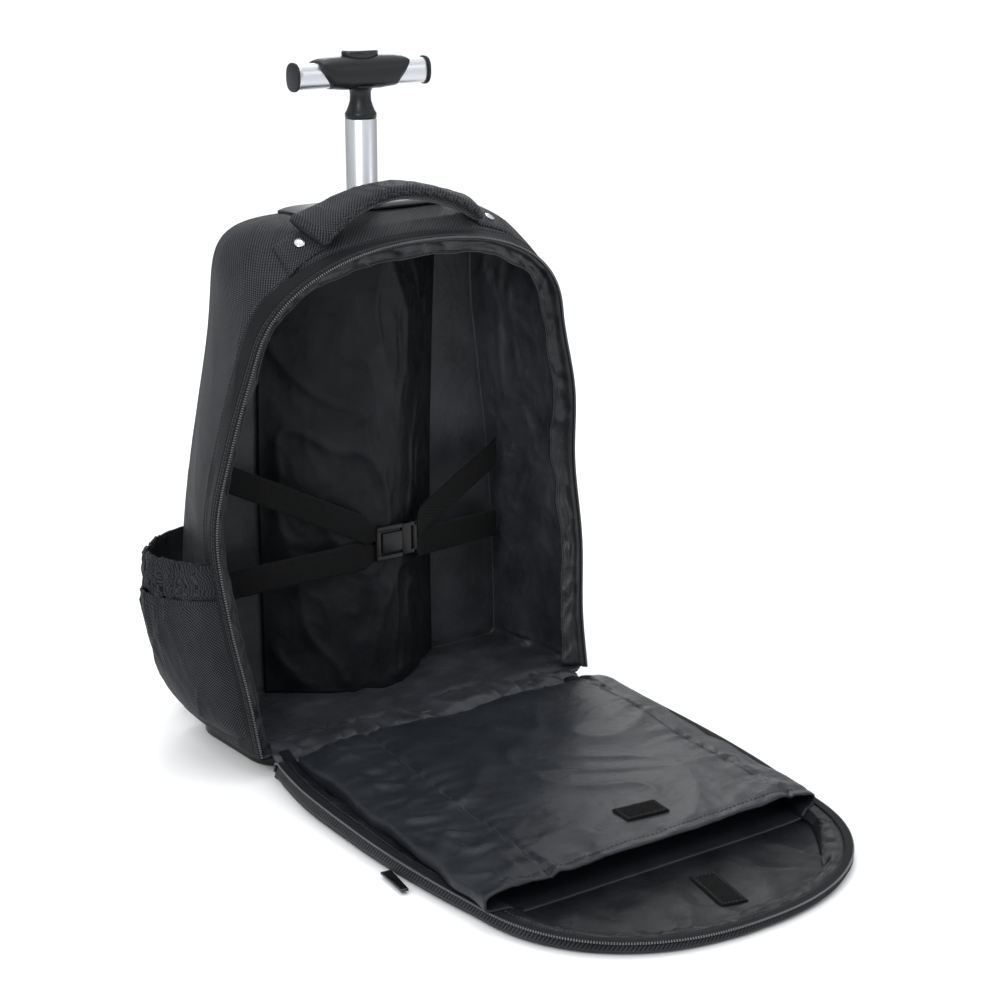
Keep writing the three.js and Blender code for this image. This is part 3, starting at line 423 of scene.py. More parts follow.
def block(name, low, high, radius, material, covers=(), turn=None, taper=1.0):
    """A box with rounded edges. turn moves its points, taper narrows its far end along Y."""
    mesh = bmesh.new()
    bmesh.ops.create_cube(mesh, size=1)
    low, high = np.asarray(low, float), np.asarray(high, float)
    for vertex in mesh.verts:
        share = np.array(vertex.co) + 0.5
        spot = low + share * (high - low)
        middle = (low[0] + high[0]) / 2
        spot[0] = middle + (spot[0] - middle) * mix(taper, 1, share[1])
        vertex.co = spot
    bmesh.ops.bevel(mesh, geom=mesh.edges[:], offset=radius, segments=3, profile=0.5,
                    affect="EDGES")
    vertices = np.array([list(v.co) for v in mesh.verts])
    faces = [[v.index for v in face.verts] for face in mesh.faces]
    mesh.free()
    uv = [vertices[i, :2] / 1000 + vertices[i, 2] / 1000 for face in faces for i in face]
    if turn is not None:
        vertices = turn(vertices)
    make(name, vertices, faces, uv, None, [material], "bag", covers)


def lathe(name, profile, centre, axis, material, body="bag", covers=(), sides=96, lean=None,
          bored=False):
    """A turned body from pairs of radius and height; axis is 0 for X and 2 for Z."""
    profile = np.asarray(profile + profile[:1] * bored, float)
    angle = circle(sides)
    ring = points(profile[:, :1] * np.cos(angle), profile[:, :1] * np.sin(angle),
                  np.broadcast_to(profile[:, 1:], (len(profile), sides)))
    if axis == 0:
        ring = ring[..., [2, 0, 1]]
    if lean is not None:
        ring = ring @ lean.T
    lay(name, ring + np.asarray(centre, float), material, wrap=True, caps=not bored,
        body=body, covers=covers)

# Materials


class Shader:
    """A material whose nodes are added one line at a time."""

    def __init__(self, name, color, rough, **sockets):
        self.material = bpy.data.materials.new(name)
        self.material.use_nodes = True
        self.nodes, self.links = self.material.node_tree.nodes, self.material.node_tree.links
        self.base = self.nodes["Principled BSDF"]
        self.set(self.base, {"Base Color": (*color, 1), "Roughness": rough, **sockets})

    def set(self, node, values):
        for key, value in values.items():
            socket = node.inputs[key]
            if isinstance(value, bpy.types.NodeSocket):
                self.links.new(value, socket)
            else:
                socket.default_value = value
        return node

    def add(self, kind, values, out=0, **settings):
        node = self.nodes.new(kind)
        for key, value in settings.items():
            setattr(node, key, value)
        self.set(node, values)
        return node.outputs[out]

    def math(self, operation, *values):
        return self.add("ShaderNodeMath", dict(enumerate(values)), operation=operation)

    def uv(self):
        """Distances across the cloth, in metres."""
        spot = self.nodes.new("ShaderNodeUVMap").outputs[0]
        node = self.set(self.nodes.new("ShaderNodeSeparateXYZ"), {0: spot})
        return node.outputs[0], node.outputs[1]

    def place(self):
        return self.nodes.new("ShaderNodeTexCoord").outputs["Object"]

    def noise(self, scale, detail=3, place=None):
        return self.add("ShaderNodeTexNoise", {"Vector": place or self.place(), "Scale": scale,
                                               "Detail": detail})

    def wave(self, u, v, pitch, angle):
        """Ridges from 0 to 1 that repeat at a distance."""
        a = self.math("MULTIPLY", u, math.cos(angle) * 2 * math.pi / pitch)
        b = self.math("MULTIPLY", v, math.sin(angle) * 2 * math.pi / pitch)
        return self.math("MULTIPLY_ADD", self.math("SINE", self.math("ADD", a, b)), 0.5, 0.5)

    def paint(self, at, dark, light, low=0.0, high=1.0):
        """Mixes two colours into the base colour."""
        share = self.add("ShaderNodeMapRange", {0: at, 1: low, 2: high})
        mixed = self.add("ShaderNodeMix", {0: share, 6: (*dark, 1), 7: (*light, 1)}, out=2,
                         data_type="RGBA")
        self.links.new(mixed, self.base.inputs["Base Color"])

    def relief(self, height, distance, strength=1.0, below=None):
        values = {"Height": height, "Distance": distance, "Strength": strength}
        if below is not None:
            values["Normal"] = below
        normal = self.add("ShaderNodeBump", values)
        self.links.new(normal, self.base.inputs["Normal"])
        return normal


def woven(name, dark, light, rough, pitch, angle, depth, sheen, fibre=1.0, cross=0.45):
    """A cloth with ridges at a pitch and angle, crossed by finer ones; the raised ridges are painted in the
    light colour as painted sheen, the hollows in the dark one as painted shade, with random tone over them.
    """
    shade = Shader(name, light, rough, **{"Sheen Weight": sheen, "Sheen Roughness": 0.45,
                                          "Specular IOR Level": 0.12})
    u, v = shade.uv()
    ridge = shade.wave(u, v, pitch, angle)
    yarn = shade.wave(u, v, pitch * 0.62, angle + math.pi / 2)
    fine = shade.noise(2600, 2)
    patchy = shade.noise(26, 4)
    weave = shade.math("MULTIPLY_ADD", yarn, cross, shade.math("MULTIPLY", ridge, 1 - cross))
    tone = shade.math("MULTIPLY_ADD", shade.math("SUBTRACT", fine, 0.5), 0.5 * fibre, weave)
    tone = shade.math("MULTIPLY_ADD", shade.math("SUBTRACT", patchy, 0.5), 0.35, tone)
    # painted sheen and shade: the raised ridges take the light colour, the hollows the dark one; the noise
    # adds random tone
    shade.paint(tone, dark, light, 0.35, 1.05)
    first = shade.relief(weave, depth)
    shade.relief(patchy, 0.0012, 0.35, first)
    return shade.material


def satin(name, dark, light, rough, pitch, sheen, gloss=0.34):
    """A thin, smooth lining cloth with a fine plain weave and small crinkles; the raised weave and crinkles
    are painted lighter and their hollows darker, as painted light and shade.
    """
    shade = Shader(name, light, rough, **{"Sheen Weight": sheen, "Sheen Roughness": 0.3,
                                          "Specular IOR Level": gloss})
    u, v = shade.uv()
    weave = shade.math("MULTIPLY", shade.wave(u, v, pitch, 0), shade.wave(u, v, pitch, math.pi / 2))
    patchy, fine = shade.noise(30, 5), shade.noise(150, 3)
    tone = shade.math("MULTIPLY_ADD", weave, 0.35, shade.math("MULTIPLY", patchy, 0.9))
    # painted light and shade: the raised weave and crinkles take the light colour, their hollows the dark
    # one
    shade.paint(tone, dark, light, 0.2, 0.95)
    first = shade.relief(weave, 0.00012, 0.8)
    second = shade.relief(patchy, 0.003, 0.5, first)
    shade.relief(fine, 0.0006, 0.6, second)
    return shade.material


def moulded(name, color, rough, grain=0.00006, scale=900, coat=0.0, **more):
    """A plastic or rubber with a fine grain and slightly uneven gloss."""
    shade = Shader(name, color, rough, **{"Coat Weight": coat, **more})
    fine, patchy = shade.noise(scale, 3), shade.noise(35, 3)
    dark = tuple(c * 0.82 for c in color)
    light = tuple(min(1, c * 1.15) for c in color)
    shade.paint(patchy, dark, light, 0.25, 0.75)
    gloss = shade.add("ShaderNodeMapRange", {0: patchy, 1: 0.2, 2: 0.8, 3: rough * 0.88, 4: rough * 1.12})
    shade.links.new(gloss, shade.base.inputs["Roughness"])
    shade.relief(fine, grain, 0.7)
    return shade.material


def metal(name, color, rough, brushed=0.0, along=(1, 1, 1)):
    """A metal with fine drawn lines along one way."""
    shade = Shader(name, color, rough, Metallic=1.0)
    spot = shade.add("ShaderNodeMapping", {"Vector": shade.place(), "Scale": along})
    lines = shade.noise(900, 3, spot)
    smudge = shade.noise(22, 4)
    gloss = shade.math("MULTIPLY_ADD", lines, 0.10 * brushed, rough)
    gloss = shade.math("MULTIPLY_ADD", smudge, 0.07, gloss)
    shade.links.new(gloss, shade.base.inputs["Roughness"])
    shade.relief(lines, 0.00002, 0.5 * brushed)
    return shade.material


def netting(name, dark, light):
    """A knitted mesh with rows of small eyes, which are sunk and painted dark as painted shade in the
    holes.
    """
    shade = Shader(name, light, 0.9, **{"Sheen Weight": 0.3, "Specular IOR Level": 0.2})
    u, v = shade.uv()
    one, two = shade.wave(u, v, 0.0026, math.pi / 3), shade.wave(u, v, 0.0026, -math.pi / 3)
    eye = shade.math("POWER", shade.math("MULTIPLY", one, two), 0.7)
    # painted shade: the sunk eyes take the dark colour, the knit between them the light one
    shade.paint(shade.math("ADD", eye, shade.math("MULTIPLY", shade.noise(2000, 2), 0.25)), dark, light,
                0.25, 0.95)
    shade.relief(eye, 0.0007, 0.9)
    return shade.material


# Each cloth's light colour is painted on its raised weave as painted sheen and light, and its dark colour
# in the hollows as painted shade; the twill's light colour stands for the bright sheen on its threads.
twill = woven("twill", (0.0006, 0.0007, 0.001), (0.062, 0.066, 0.076), 0.6, 0.0022, math.radians(45),
              0.0005, 0.03, cross=0.5)
plain_cloth = woven("plain_cloth", (0.003, 0.0032, 0.004), (0.013, 0.0137, 0.016), 0.62, 0.0011, 0.0,
                    0.0002, 0.03)
mesh_cloth = netting("mesh_cloth", (0.0015, 0.0016, 0.002), (0.02, 0.021, 0.024))
lining = satin("lining", (0.0018, 0.0021, 0.0026), (0.013, 0.0143, 0.0172), 0.31, 0.0008, 0.01,
               gloss=0.13)
wall_lining = satin("wall_lining", (0.008, 0.009, 0.011), (0.042, 0.046, 0.053), 0.3, 0.0008, 0.02,
                    gloss=0.3)
sleeve_cloth = satin("sleeve_lining", (0.006, 0.0072, 0.0095), (0.019, 0.0216, 0.0262), 0.31, 0.0009, 0.02,
                     gloss=0.18)
binding_cloth = satin("binding", (0.0035, 0.0039, 0.005), (0.017, 0.0185, 0.022), 0.34, 0.001, 0.04)
webbing = woven("webbing", (0.0008, 0.0009, 0.0011), (0.008, 0.0084, 0.0095), 0.6, 0.0019,
                math.radians(60), 0.0004, 0.03, cross=0.5)
zip_tape = woven("zip_tape", (0.002, 0.0022, 0.0026), (0.01, 0.0105, 0.012), 0.7, 0.001,
                 math.radians(30), 0.0002, 0.03)
fuzz = woven("hook_and_loop", (0.0004, 0.0004, 0.0005), (0.007, 0.0074, 0.0085), 0.95, 0.0012, 0.3,
             0.0008, 0.02, fibre=2.4)
thread = moulded("thread", (0.035, 0.037, 0.042), 0.6, 0.00004, 2000)
dark_thread = moulded("dark_thread", (0.018, 0.019, 0.022), 0.6, 0.00004, 2000)
zip_teeth = moulded("zip_teeth", (0.105, 0.11, 0.12), 0.36)
plastic = moulded("plastic", (0.0055, 0.0057, 0.0064), 0.36, **{"Specular IOR Level": 0.28})
smooth_plastic = moulded("smooth_plastic", (0.02, 0.0212, 0.024), 0.42, **{"Specular IOR Level": 0.35})
button_plastic = moulded("button_plastic", (0.009, 0.0095, 0.011), 0.3, **{"Specular IOR Level": 0.35})
gloss = moulded("gloss_plastic", (0.004, 0.004, 0.0046), 0.16, coat=0.3)
grip = moulded("grip_rubber", (0.0085, 0.0094, 0.0112), 0.36, 0.00008, 1400, **{"Specular IOR Level": 0.24})
rubber = moulded("rubber", (0.006, 0.006, 0.0066), 0.7, 0.0001)
aluminium = metal("aluminium", (0.56, 0.575, 0.6), 0.24, 1.0, (60, 60, 1))
chrome = metal("chrome", (0.5, 0.505, 0.52), 0.22)

# The body's surface: height and depth are shares, 0 at the base seam and at the zip


def row_value(height, column):
    return table_value(BODY_ROWS, column, height)


def rise(t):
    return through(0, CROWN_RISE, BACK_RISE, t)


def roundness(t):
    return mix(FRONT_ROUND, BACK_ROUND, np.minimum(1, np.maximum(t, 0) * 1.33) ** 1.5)


def body_y(height, t):
    start = FRONT_Y + row_value(height, FRONT_SET) * DEPTH + ZIP_WIDTH + GAP
    return mix(start, FRONT_Y + row_value(height, BACK_SET) * DEPTH, t)


def body_z(height, t):
    return BASE_SEAM_Z + height * (OPENING_HEIGHT + rise(t))


def body_lean(height, t):
    return HALF_WIDTH * row_value(height, LEAN) * (1 - t)


def body_half(height, t):
    widths = [row_value(height, column) for column in (FRONT, MIDDLE, BACK)]
    return HALF_WIDTH * through(*widths, t)


def arch_width(height, n, start):
    up = np.clip((height - start) / (1 - start), 0, 1)
    return (1 - up**n) ** (1 / n)


def back_face_y(z):
    return body_y((z - BASE_SEAM_Z) / (OPENING_HEIGHT + BACK_RISE), 1)


def inner_back_y(z):
    return body_y((z - BASE_SEAM_Z) / (OPENING_HEIGHT + rise(INSIDE)), INSIDE)


def solve(past, low, high):
    """The value between two ends at which a rising test turns true."""
    for _ in range(30):
        middle = (low + high) / 2
        turned = past(middle)
        high, low = np.where(turned, middle, high), np.where(turned, low, middle)
    return (low + high) / 2


def top_height(x, t):
    one = np.ones(np.broadcast(x, t).shape)
    return solve(
        lambda h: arch_width(h, roundness(t), ARCH_START) * body_half(h, t) < np.abs(x - body_lean(h, t)),
        one * ARCH_START, one)


def top_at(x, y):
    """The height of the body's top over a place."""
    x, y = np.broadcast_arrays(np.asarray(x, float), np.asarray(y, float))
    share = solve(lambda t: body_y(top_height(x, t), t) > y, np.zeros(x.shape), np.ones(x.shape))
    return body_z(top_height(x, share), share)


def inset_loop(loop, distance, closed):
    """Moves a loop of points inwards in the plane across Y."""
    if closed:
        run = np.roll(loop, -1, 0) - np.roll(loop, 1, 0)
    else:
        run = np.gradient(loop, axis=0)
    run = run / np.maximum(np.hypot(run[:, 0], run[:, 2])[:, None], 1e-9)
    distance = np.broadcast_to(distance, len(loop))
    return loop + points(-run[:, 2] * distance, 0, run[:, 0] * distance)


def arch_shares(n, start, bend_at, low):
    """Heights and widths of an arch's side: straight up to its start, then round to the top."""
    angle = np.linspace(0, math.pi / 2, bend_at)
    straight = np.linspace(low, start, 300)[:-1]
    height = np.concatenate([straight, start + (1 - start) * np.sin(angle) ** (2 / n)])
    return height, np.concatenate([np.ones(299), np.clip(np.cos(angle), 0, 1) ** (2 / n)])


def arch(t, count=ARCH_POINTS, inset=0.0):
    """The body's arch at a depth, from the right base seam over the top to the left one."""
    height, width = arch_shares(roundness(t), ARCH_START, 500, 0)
    half, lean = width * body_half(height, t), body_lean(height, t)
    y, z = body_y(height, t), body_z(height, t)
    line = np.concatenate([points(lean + half, y, z), points(lean - half, y, z)[::-1][1:]])
    return inset_loop(resample(line, count), inset, closed=False)


def body_ring(t, inset):
    """The whole outline of the body at a depth."""
    half, y = body_half(0, t), body_y(0, t)
    angle = np.linspace(0, math.pi / 2, 8)
    corner = points(half - CORNER_CUT * (1 - np.cos(angle)), y,
                    BASE_SEAM_Z - (BASE_SEAM_Z - BODY_BOTTOM_Z) * np.sin(angle))
    left = corner * (-1, 1, 1)
    low = resample(np.concatenate([left, corner[::-1]]), FLOOR_POINTS)[1:-1]
    return inset_loop(np.concatenate([arch(t), low]), inset, closed=True)


def shrink(ring, share, depth_of):
    middle = ring.mean(0)
    moved = middle + (ring - middle) * share
    moved[:, 1] = depth_of(moved[:, 2])
    return moved


def zip_path(inset, setback, count=ARCH_POINTS):
    """A line along the opening's edge."""
    line = arch(0, count, inset)
    line[:, 1] += setback - ZIP_WIDTH - GAP
    return line


def build_shell():
    """The outer cloth: rings from the zip to the back's edge, then ever smaller ones over the back."""
    edge_at, edge_radius = 0.93, 3
    bend = edge_at + (1 - edge_at) * np.sin(np.linspace(0, 1, 6)[1:] * math.pi / 2)
    shares = np.concatenate([np.linspace(0, edge_at, 62), bend])
    past = np.clip((shares - edge_at) / (1 - edge_at), 0, 1)
    inset = edge_radius * (1 - np.sqrt(1 - past**2))
    rings = [body_ring(t, d) for t, d in zip(shares, inset)]
    rings += [shrink(rings[-1], share, back_face_y) for share in (0.96, 0.85, 0.65, 0.4, 0.15, 0.01)]
    grid = np.array(rings)
    rows, cols = grid.shape[:2]
    seam_at = mix(GUSSET, 0.055, bump(np.arange(cols) / ARCH_POINTS, 0.5, 0.17))
    seam_row, last = 12, len(shares) - 1
    row = np.arange(last + 1)[:, None]
    t = np.where(row <= seam_row, seam_at * row / seam_row,
                 mix(seam_at, 1, (row - seam_row) / (last - seam_row)))
    for c in range(cols):
        grid[: last + 1, c] = interpolate(t[:, c], shares, grid[: last + 1, c])
    t = np.concatenate([t, np.ones((rows - last - 1, cols)) * 1.1])
    z = grid[..., 2]
    on_side = step(30, 60, z) * step(0.02, 0.1, t) * (1 - step(0.86, 0.95, t))
    around = np.arange(cols)[None, :] / 16.0
    folds = creases(around * 1.3 + t * 1.5, t * 4.2 + around * 0.25, 4) - 0.4
    pull = noise(around * 0.45, t * 2.2, 9)
    seam = bump(t - seam_at, 0, 0.008) * step(26, 34, z)
    grid = grid + normals(grid, True) * ((0.9 * folds + 1.2 * pull) * on_side - 1.3 * seam)[..., None]
    paint = np.zeros((rows, cols), int)
    paint[:seam_row] = 1
    seam_line = np.s_[seam_row + 1, 20:341]
    stitches("gusset_stitches", grid[seam_line], normals(grid, True)[seam_line], count=1400)
    skin = lay("bag_shell", grid, [twill, plain_cloth], thick=1.3, wrap=True,
               covers=["body_shell"], paint=paint)
    cloth(grid, wrap=True)
    return skin


def build_lining(shell):
    """The lining inside: its side and top walls, its slack floor and its back wall."""
    shares = np.linspace(0, INSIDE, 46)
    rings = [body_ring(t, CLOTH - 1.5) for t in shares]
    rings += [shrink(rings[-1], share, inner_back_y) for share in (0.99, 0.95, 0.8, 0.6, 0.4, 0.2, 0.01)]
    grid = np.array(rings)
    x, y, z = grid[..., 0], grid[..., 1], grid[..., 2]
    depth = np.concatenate([shares, np.ones(len(rings) - len(shares)) * INSIDE])[:, None]
    around = np.arange(grid.shape[1])[None, :] / 14.0
    folds = creases(around, depth * 5, 21) + 0.6 * creases(around * 2.6, depth * 9, 23)
    wall = step(0.02, 0.12, depth) * step(26, 60, z) * (1 - step(0.8, 0.9, depth))
    low = (1 - step(22, 34, z)) * step(0.03, 0.12, depth) * (1 - step(0.72, 0.85, depth))
    slack = 4.2 * creases(x / 34 + y / 60, y / 26 - x / 90, 25, 3) + 1.8 * creases(x / 15, y / 17, 27, 2)
    grid = grid - normals(grid, True) * (1.5 * folds * wall + slack * low)[..., None]
    skin = lay("bag_lining", grid, wall_lining, thick=1.2, wrap=True, covers=["body_shell"])
    cloth(grid, wrap=True)


def build_zip():
    """The zip's tape and teeth along the opening, with two rows of stitches behind them."""
    tape = np.array([zip_path(0.1, ZIP_WIDTH * s) for s in np.linspace(0, 1, 6)])
    lay("opening_zip_tape", tape, zip_tape, thick=2.7, covers=["opening_zip"])
    bricks("opening_zip_teeth", zip_path(1.4, -0.2, EVEN), FORWARD, (1.05, 2.0, 1.2), zip_teeth,
           2.0, covers=["opening_zip"], lift=-0.4)
    for row, setback in enumerate((3.2, 6.4)):
        edge = zip_path(-0.02, setback, EVEN)
        stitches(f"opening_stitches_{row + 1}", edge, zip_path(-1, setback, EVEN) - edge)


def build_binding():
    """The rucked strip that binds the inner edge of the opening."""
    at = np.linspace(0, 1, ARCH_POINTS)
    wave = 0.75 + 0.14 * noise(at * 16, 0, 31) + 0.1 * noise(at * 43, 1, 32)
    rows = []
    for s in np.linspace(0, 1, 14):
        line = zip_path(0, 1 + (ZIP_WIDTH + GAP - 1) * min(1, s * 6))
        line[:, 1] += 9.5 * s * wave
        rows.append(inset_loop(line, 3.45 + 16.5 * s * wave + 0.5 * noise(at * 60, s * 3, 33) * s,
                               closed=False))
    grid = np.array(rows)[::-1]
    s = np.linspace(1, 0, 14)[:, None]
    ruck = creases(at[None, :] * 70 + s, s * 1.6, 34, 2) + 0.6 * noise(at[None, :] * 110, s * 2, 35)
    grid = grid + normals(grid) * (2.3 * ruck * np.sin(math.pi * np.clip(s, 0, 0.94)) ** 0.6)[..., None]
    strip = lay("zip_binding_strip", grid, binding_cloth, thick=1.4, covers=["zip_binding"])
    cloth(grid)
    cord("binding_edge", grid[1], 1.1, binding_cloth, up=(0, 1, 0), sides=8)
    stitches("binding_stitches", grid[3], normals(grid)[3], (2.2, 0.5, 0.3), 3.6, EVEN)

# The front panel: along runs from the hinge to the tip, in the panel's own frame


def on_floor(x, along, z):
    """From the panel's own frame to the part's."""
    c, s = math.cos(PANEL_TURN), math.sin(PANEL_TURN)
    x, along, z = np.broadcast_arrays(np.asarray(x, float), along, z)
    return points(c * x + s * along, PANEL_HINGE_Y + s * x - c * along, z)


def set_down(grid):
    """Moves points from the panel's own frame to the part's."""
    return on_floor(grid[..., 0], grid[..., 1], grid[..., 2])


def rim_height(share):
    return mix(RIM_TIP, RIM_HINGE, table_value(RIM_ROWS, 1, share))


def panel_floor(share):
    return mix(FLOOR_HINGE, FLOOR_TIP, share)


def panel_edge(share):
    width = PANEL_HALF * table_value(PANEL_ROWS, 1, share)
    return width * arch_width(share, FRONT_ROUND, PANEL_ARCH_START)


def tray_top(x, along):
    share = np.clip(along / PANEL_LENGTH, 0, 1)
    inner = panel_edge(share) - np.abs(x) - RIM_WIDTH
    return mix(panel_floor(share), rim_height(share), np.clip(1 - inner / RIM_FOOT, 0, 1))


def hinge_share(x):
    reach = PANEL_HINGE_Y - (FRONT_Y - 2.2) + x * math.sin(PANEL_TURN)
    return reach / math.cos(PANEL_TURN) / PANEL_LENGTH


def panel_arch():
    """The panel's edge from its right hinge corner round the tip to the left, as x and along."""
    corner = PANEL_HALF * PANEL_ROWS[0, 1]
    sides = []
    for side in (1, -1):
        share, width = arch_shares(FRONT_ROUND, PANEL_ARCH_START, 400, hinge_share(side * corner))
        half = PANEL_HALF * table_value(PANEL_ROWS, 1, share) * width
        sides.append(points(side * half, share * PANEL_LENGTH, 0))
    return resample(np.concatenate([sides[0], sides[1][::-1][1:]]), ARCH_POINTS)


def panel_line(line, inset):
    """The edge moved inwards by a distance."""
    run = run_of(line)
    return line + points(-run[:, 1], run[:, 0], 0) * np.broadcast_to(inset, len(line))[:, None]


def build_panel_rim():
    """The panel's side band of twill, the dark binding inside it and the zip half on it."""
    edge = panel_arch()
    at = np.linspace(0, 1, len(edge))
    near_end = np.clip(np.minimum(at, 1 - at) / 0.016, 0, 1)
    end = np.sqrt(1 - (1 - near_end) ** 2)
    height = mix(FLOOR_HINGE + 1, rim_height(np.clip(edge[:, 1] / PANEL_LENGTH, 0, 1)), end)
    slump = 1.0 * noise(at * 26, 0, 41) + 0.7 * noise(at * 61, 3, 42)

    rows = []
    for level in np.linspace(0, 0.95, 18):
        inset = np.interp(level, TRAY_SECTIONS[:4, 1], TRAY_SECTIONS[:4, 0])
        line = panel_line(edge, inset * RIM_WIDTH + slump * level * 0.8)
        rows.append(on_floor(line[:, 0], line[:, 1], np.maximum(level * height, 0.2)))
    grid = np.array(rows)
    side = lay("panel_side", grid, twill, thick=1.4, covers=["front_panel"])
    cloth(grid)

    wave = 1.0 + 0.16 * noise(at * 30, 0, 43) + 0.12 * noise(at * 71, 5, 44)
    rows = []
    for s in np.linspace(0, 1, 16):
        line = panel_line(edge, 4.6 + (RIM_WIDTH * 1.15) * s * wave)
        ruck = 2.0 * creases(at * 78 + s * 0.8, s * 1.3, 46, 2) + 0.5 * noise(at * 150, s * 2, 47)
        puff = (1.0 + ruck) * math.sin(math.pi * s)
        drop = mix(-0.4, 4.2 + 1.6 * noise(at * 50, s, 45) * s, s**1.5)
        rows.append(on_floor(line[:, 0], line[:, 1], height + 0.6 + (puff - drop) * end))
    grid = np.array(rows)
    strip = lay("panel_binding", grid, lining, thick=1.3, covers=["front_panel"])
    cloth(grid)
    stitches("panel_binding_stitches", grid[3], UP, (2.2, 0.5, 0.3), 3.6, EVEN,
             covers=["front_panel"])

    rows = []
    for s in np.linspace(0, 1, 5):
        line = panel_line(edge, mix(-1.2, 5.2, s))
        rows.append(on_floor(line[:, 0], line[:, 1], height + 1.9 + 0.4 * s))
    lay("panel_zip_tape", np.array(rows), zip_tape, thick=1.5, covers=["panel_zip"])
    line = resample(panel_line(edge, -1.4), EVEN)
    tall = np.interp(np.linspace(0, 1, EVEN), at, height)
    bricks("panel_zip_teeth", on_floor(line[:, 0], line[:, 1], tall + 1.9), UP, (1.05, 1.5, 1.2),
           zip_teeth, 2.0, covers=["panel_zip"], lift=-0.8)


def build_panel_floor():
    """The panel's lining, slack where neither the sleeve nor the hook strip holds it, and its outside."""
    ends = 0.022, 0.985
    along, across = spread((*ends, 151), (-1, 1, 141))
    x = across * (panel_edge(along) - RIM_WIDTH * 0.4)
    y = along * PANEL_LENGTH
    folds = creases(x / 34, y / 55, 51) * 3.4 + 1.0 * noise(x / 14, y / 22, 52)
    bare = step(SLEEVE_END - 6, SLEEVE_END + 30, y) * step(0, 20, panel_edge(along) - np.abs(x) - 10)
    from_strip = np.hypot(x - HOOK_X, y - HOOK_ALONG)
    bare = bare * (1 - bump(np.maximum(from_strip - 20, 0), 0, 14))
    grid = on_floor(x, y, tray_top(x, y) - GAP + folds * bare)[::-1]
    inside = lay("panel_lining", grid, lining, thick=1.2, covers=["front_panel"])
    cloth(grid)
    along, across = spread((*ends, 41), (-1, 1, 25))
    grid = on_floor(across * (panel_edge(along) - 6), along * PANEL_LENGTH, 1.4)[::-1]
    outside = lay("panel_outside", grid, twill, thick=1.2, covers=["front_panel"])
    cloth(grid)


def build_hinge_web():
    """The lining from the bag's floor over the fold to the panel."""
    line = np.array([
        # depth, height and half width
        [FRONT_Y + 30, BODY_BOTTOM_Z + CLOTH + GAP + 0.4, 150],
        [FRONT_Y + 14, BODY_BOTTOM_Z + CLOTH + GAP + 1.4, 155],
        [FRONT_Y + 2, BODY_BOTTOM_Z + CLOTH + 0.6, 161],
        [FRONT_Y - 4, FLOOR_HINGE + 9.4, 160],
        [FRONT_Y - 12, FLOOR_HINGE + 6.0, 150],
        [FRONT_Y - 24, FLOOR_HINGE + 3.0, 138],
    ])
    even = interpolate(np.linspace(0, 1, 25), np.linspace(0, 1, len(line)), line)
    even[2:-2, 1] = np.convolve(even[:, 1], np.ones(5) / 5, "valid")
    y, z, half = even[:, :1], even[:, 1:2], even[:, 2:]
    x = half * np.linspace(-1, 1, 181)
    pucker = 4.2 * creases(x / 19 + y / 40, y / 26, 61, 2) - 0.8
    pucker = pucker + 1.1 * noise(x / 7, y / 13, 62) + 1.8 * noise(x / 44, y / 20, 63)
    grid = points(x, y, z + pucker)
    web = lay("hinge_lining", grid, wall_lining, thick=1.2, covers=["hinge_web"])
    cloth(grid)


def sleeve_ring(along_share, inset):
    """A closed ring of the sleeve, from its right side over the top and back underneath."""
    along = mix(SLEEVE_START, SLEEVE_END, along_share)
    middle = SLEEVE_OFFSET - SLEEVE_DRIFT * along
    share = table_value(SLEEVE_ROWS, 1, along_share)
    half = np.minimum(SLEEVE_HALF, panel_edge(along / PANEL_LENGTH)) - (1 - share) * 8
    angle = np.linspace(0, 2 * math.pi, 1200)
    side = power(np.cos(angle), 0.3)
    x = middle + (half - inset) * side
    low = tray_top(middle + half * side, along) + GAP + 0.2
    high = mix(low + 1, SLEEVE_TOP, share)
    up = 0.5 + 0.5 * power(np.sin(angle), 0.35)
    return resample(points(x, along, mix(low + inset, high - inset, up)), 241)[:-1]


def sleeve_folds(x, y, z, shares):
    """How far the sleeve's cloth sways to the side and lifts, by its flat shape."""
    inner = step(0, 26, SLEEVE_HALF - np.abs(x - SLEEVE_OFFSET + SLEEVE_DRIFT * y))
    folds = 2.2 * creases(x / 70 + y / 150, y / 60 - x / 150, 71, 3) + 1.8 * noise(x / 60, y / 50, 72)
    calm = 1 - 0.9 * bump(np.hypot(x - LOOP_X, (y - LOOP_ALONG) * 1.3), 0, 26)
    fine = 0.0
    for seam in SLEEVE_SEAMS:
        away = np.abs(x - mix(*seam, (y - SLEEVE_START) / SLEEVE_LENGTH))
        fine = fine + creases(y / 11 + noise(x / 30, y / 30, 74), x / 34, 75, 2) * np.exp(-away / 22)
        folds = folds - 2.6 * bump(away, 0, 2.2)
    ends = np.exp(-np.abs(y - SLEEVE_START - 8) / 20) + 0.6 * np.exp(-np.abs(HEM_ALONG - y) / 12)
    fine = fine + creases(x / 12 + noise(x / 40, y / 20, 76), y / 30, 77, 2) * ends
    side = step(SLEEVE_HALF - 52, SLEEVE_HALF - 30, SLEEVE_OFFSET - SLEEVE_DRIFT * y - x)
    fine = fine + 1.3 * side * creases(y / 17, x / 20, 78, 2)
    hem = bump(y, HEM_ALONG, 1.1)
    wavy = 1.8 * noise(x / 55, 0.5 + 0 * y, 79) * step(0.93, 1, shares)[:, None]
    lift = (folds * inner + 2.4 * fine * (0.25 + inner) - 1.4) * calm - 0.9 * hem + wavy
    return 2.6 * noise(y / 24, np.sign(x) * 3, 80) * (1 - inner), lift * step(20, 29, z)


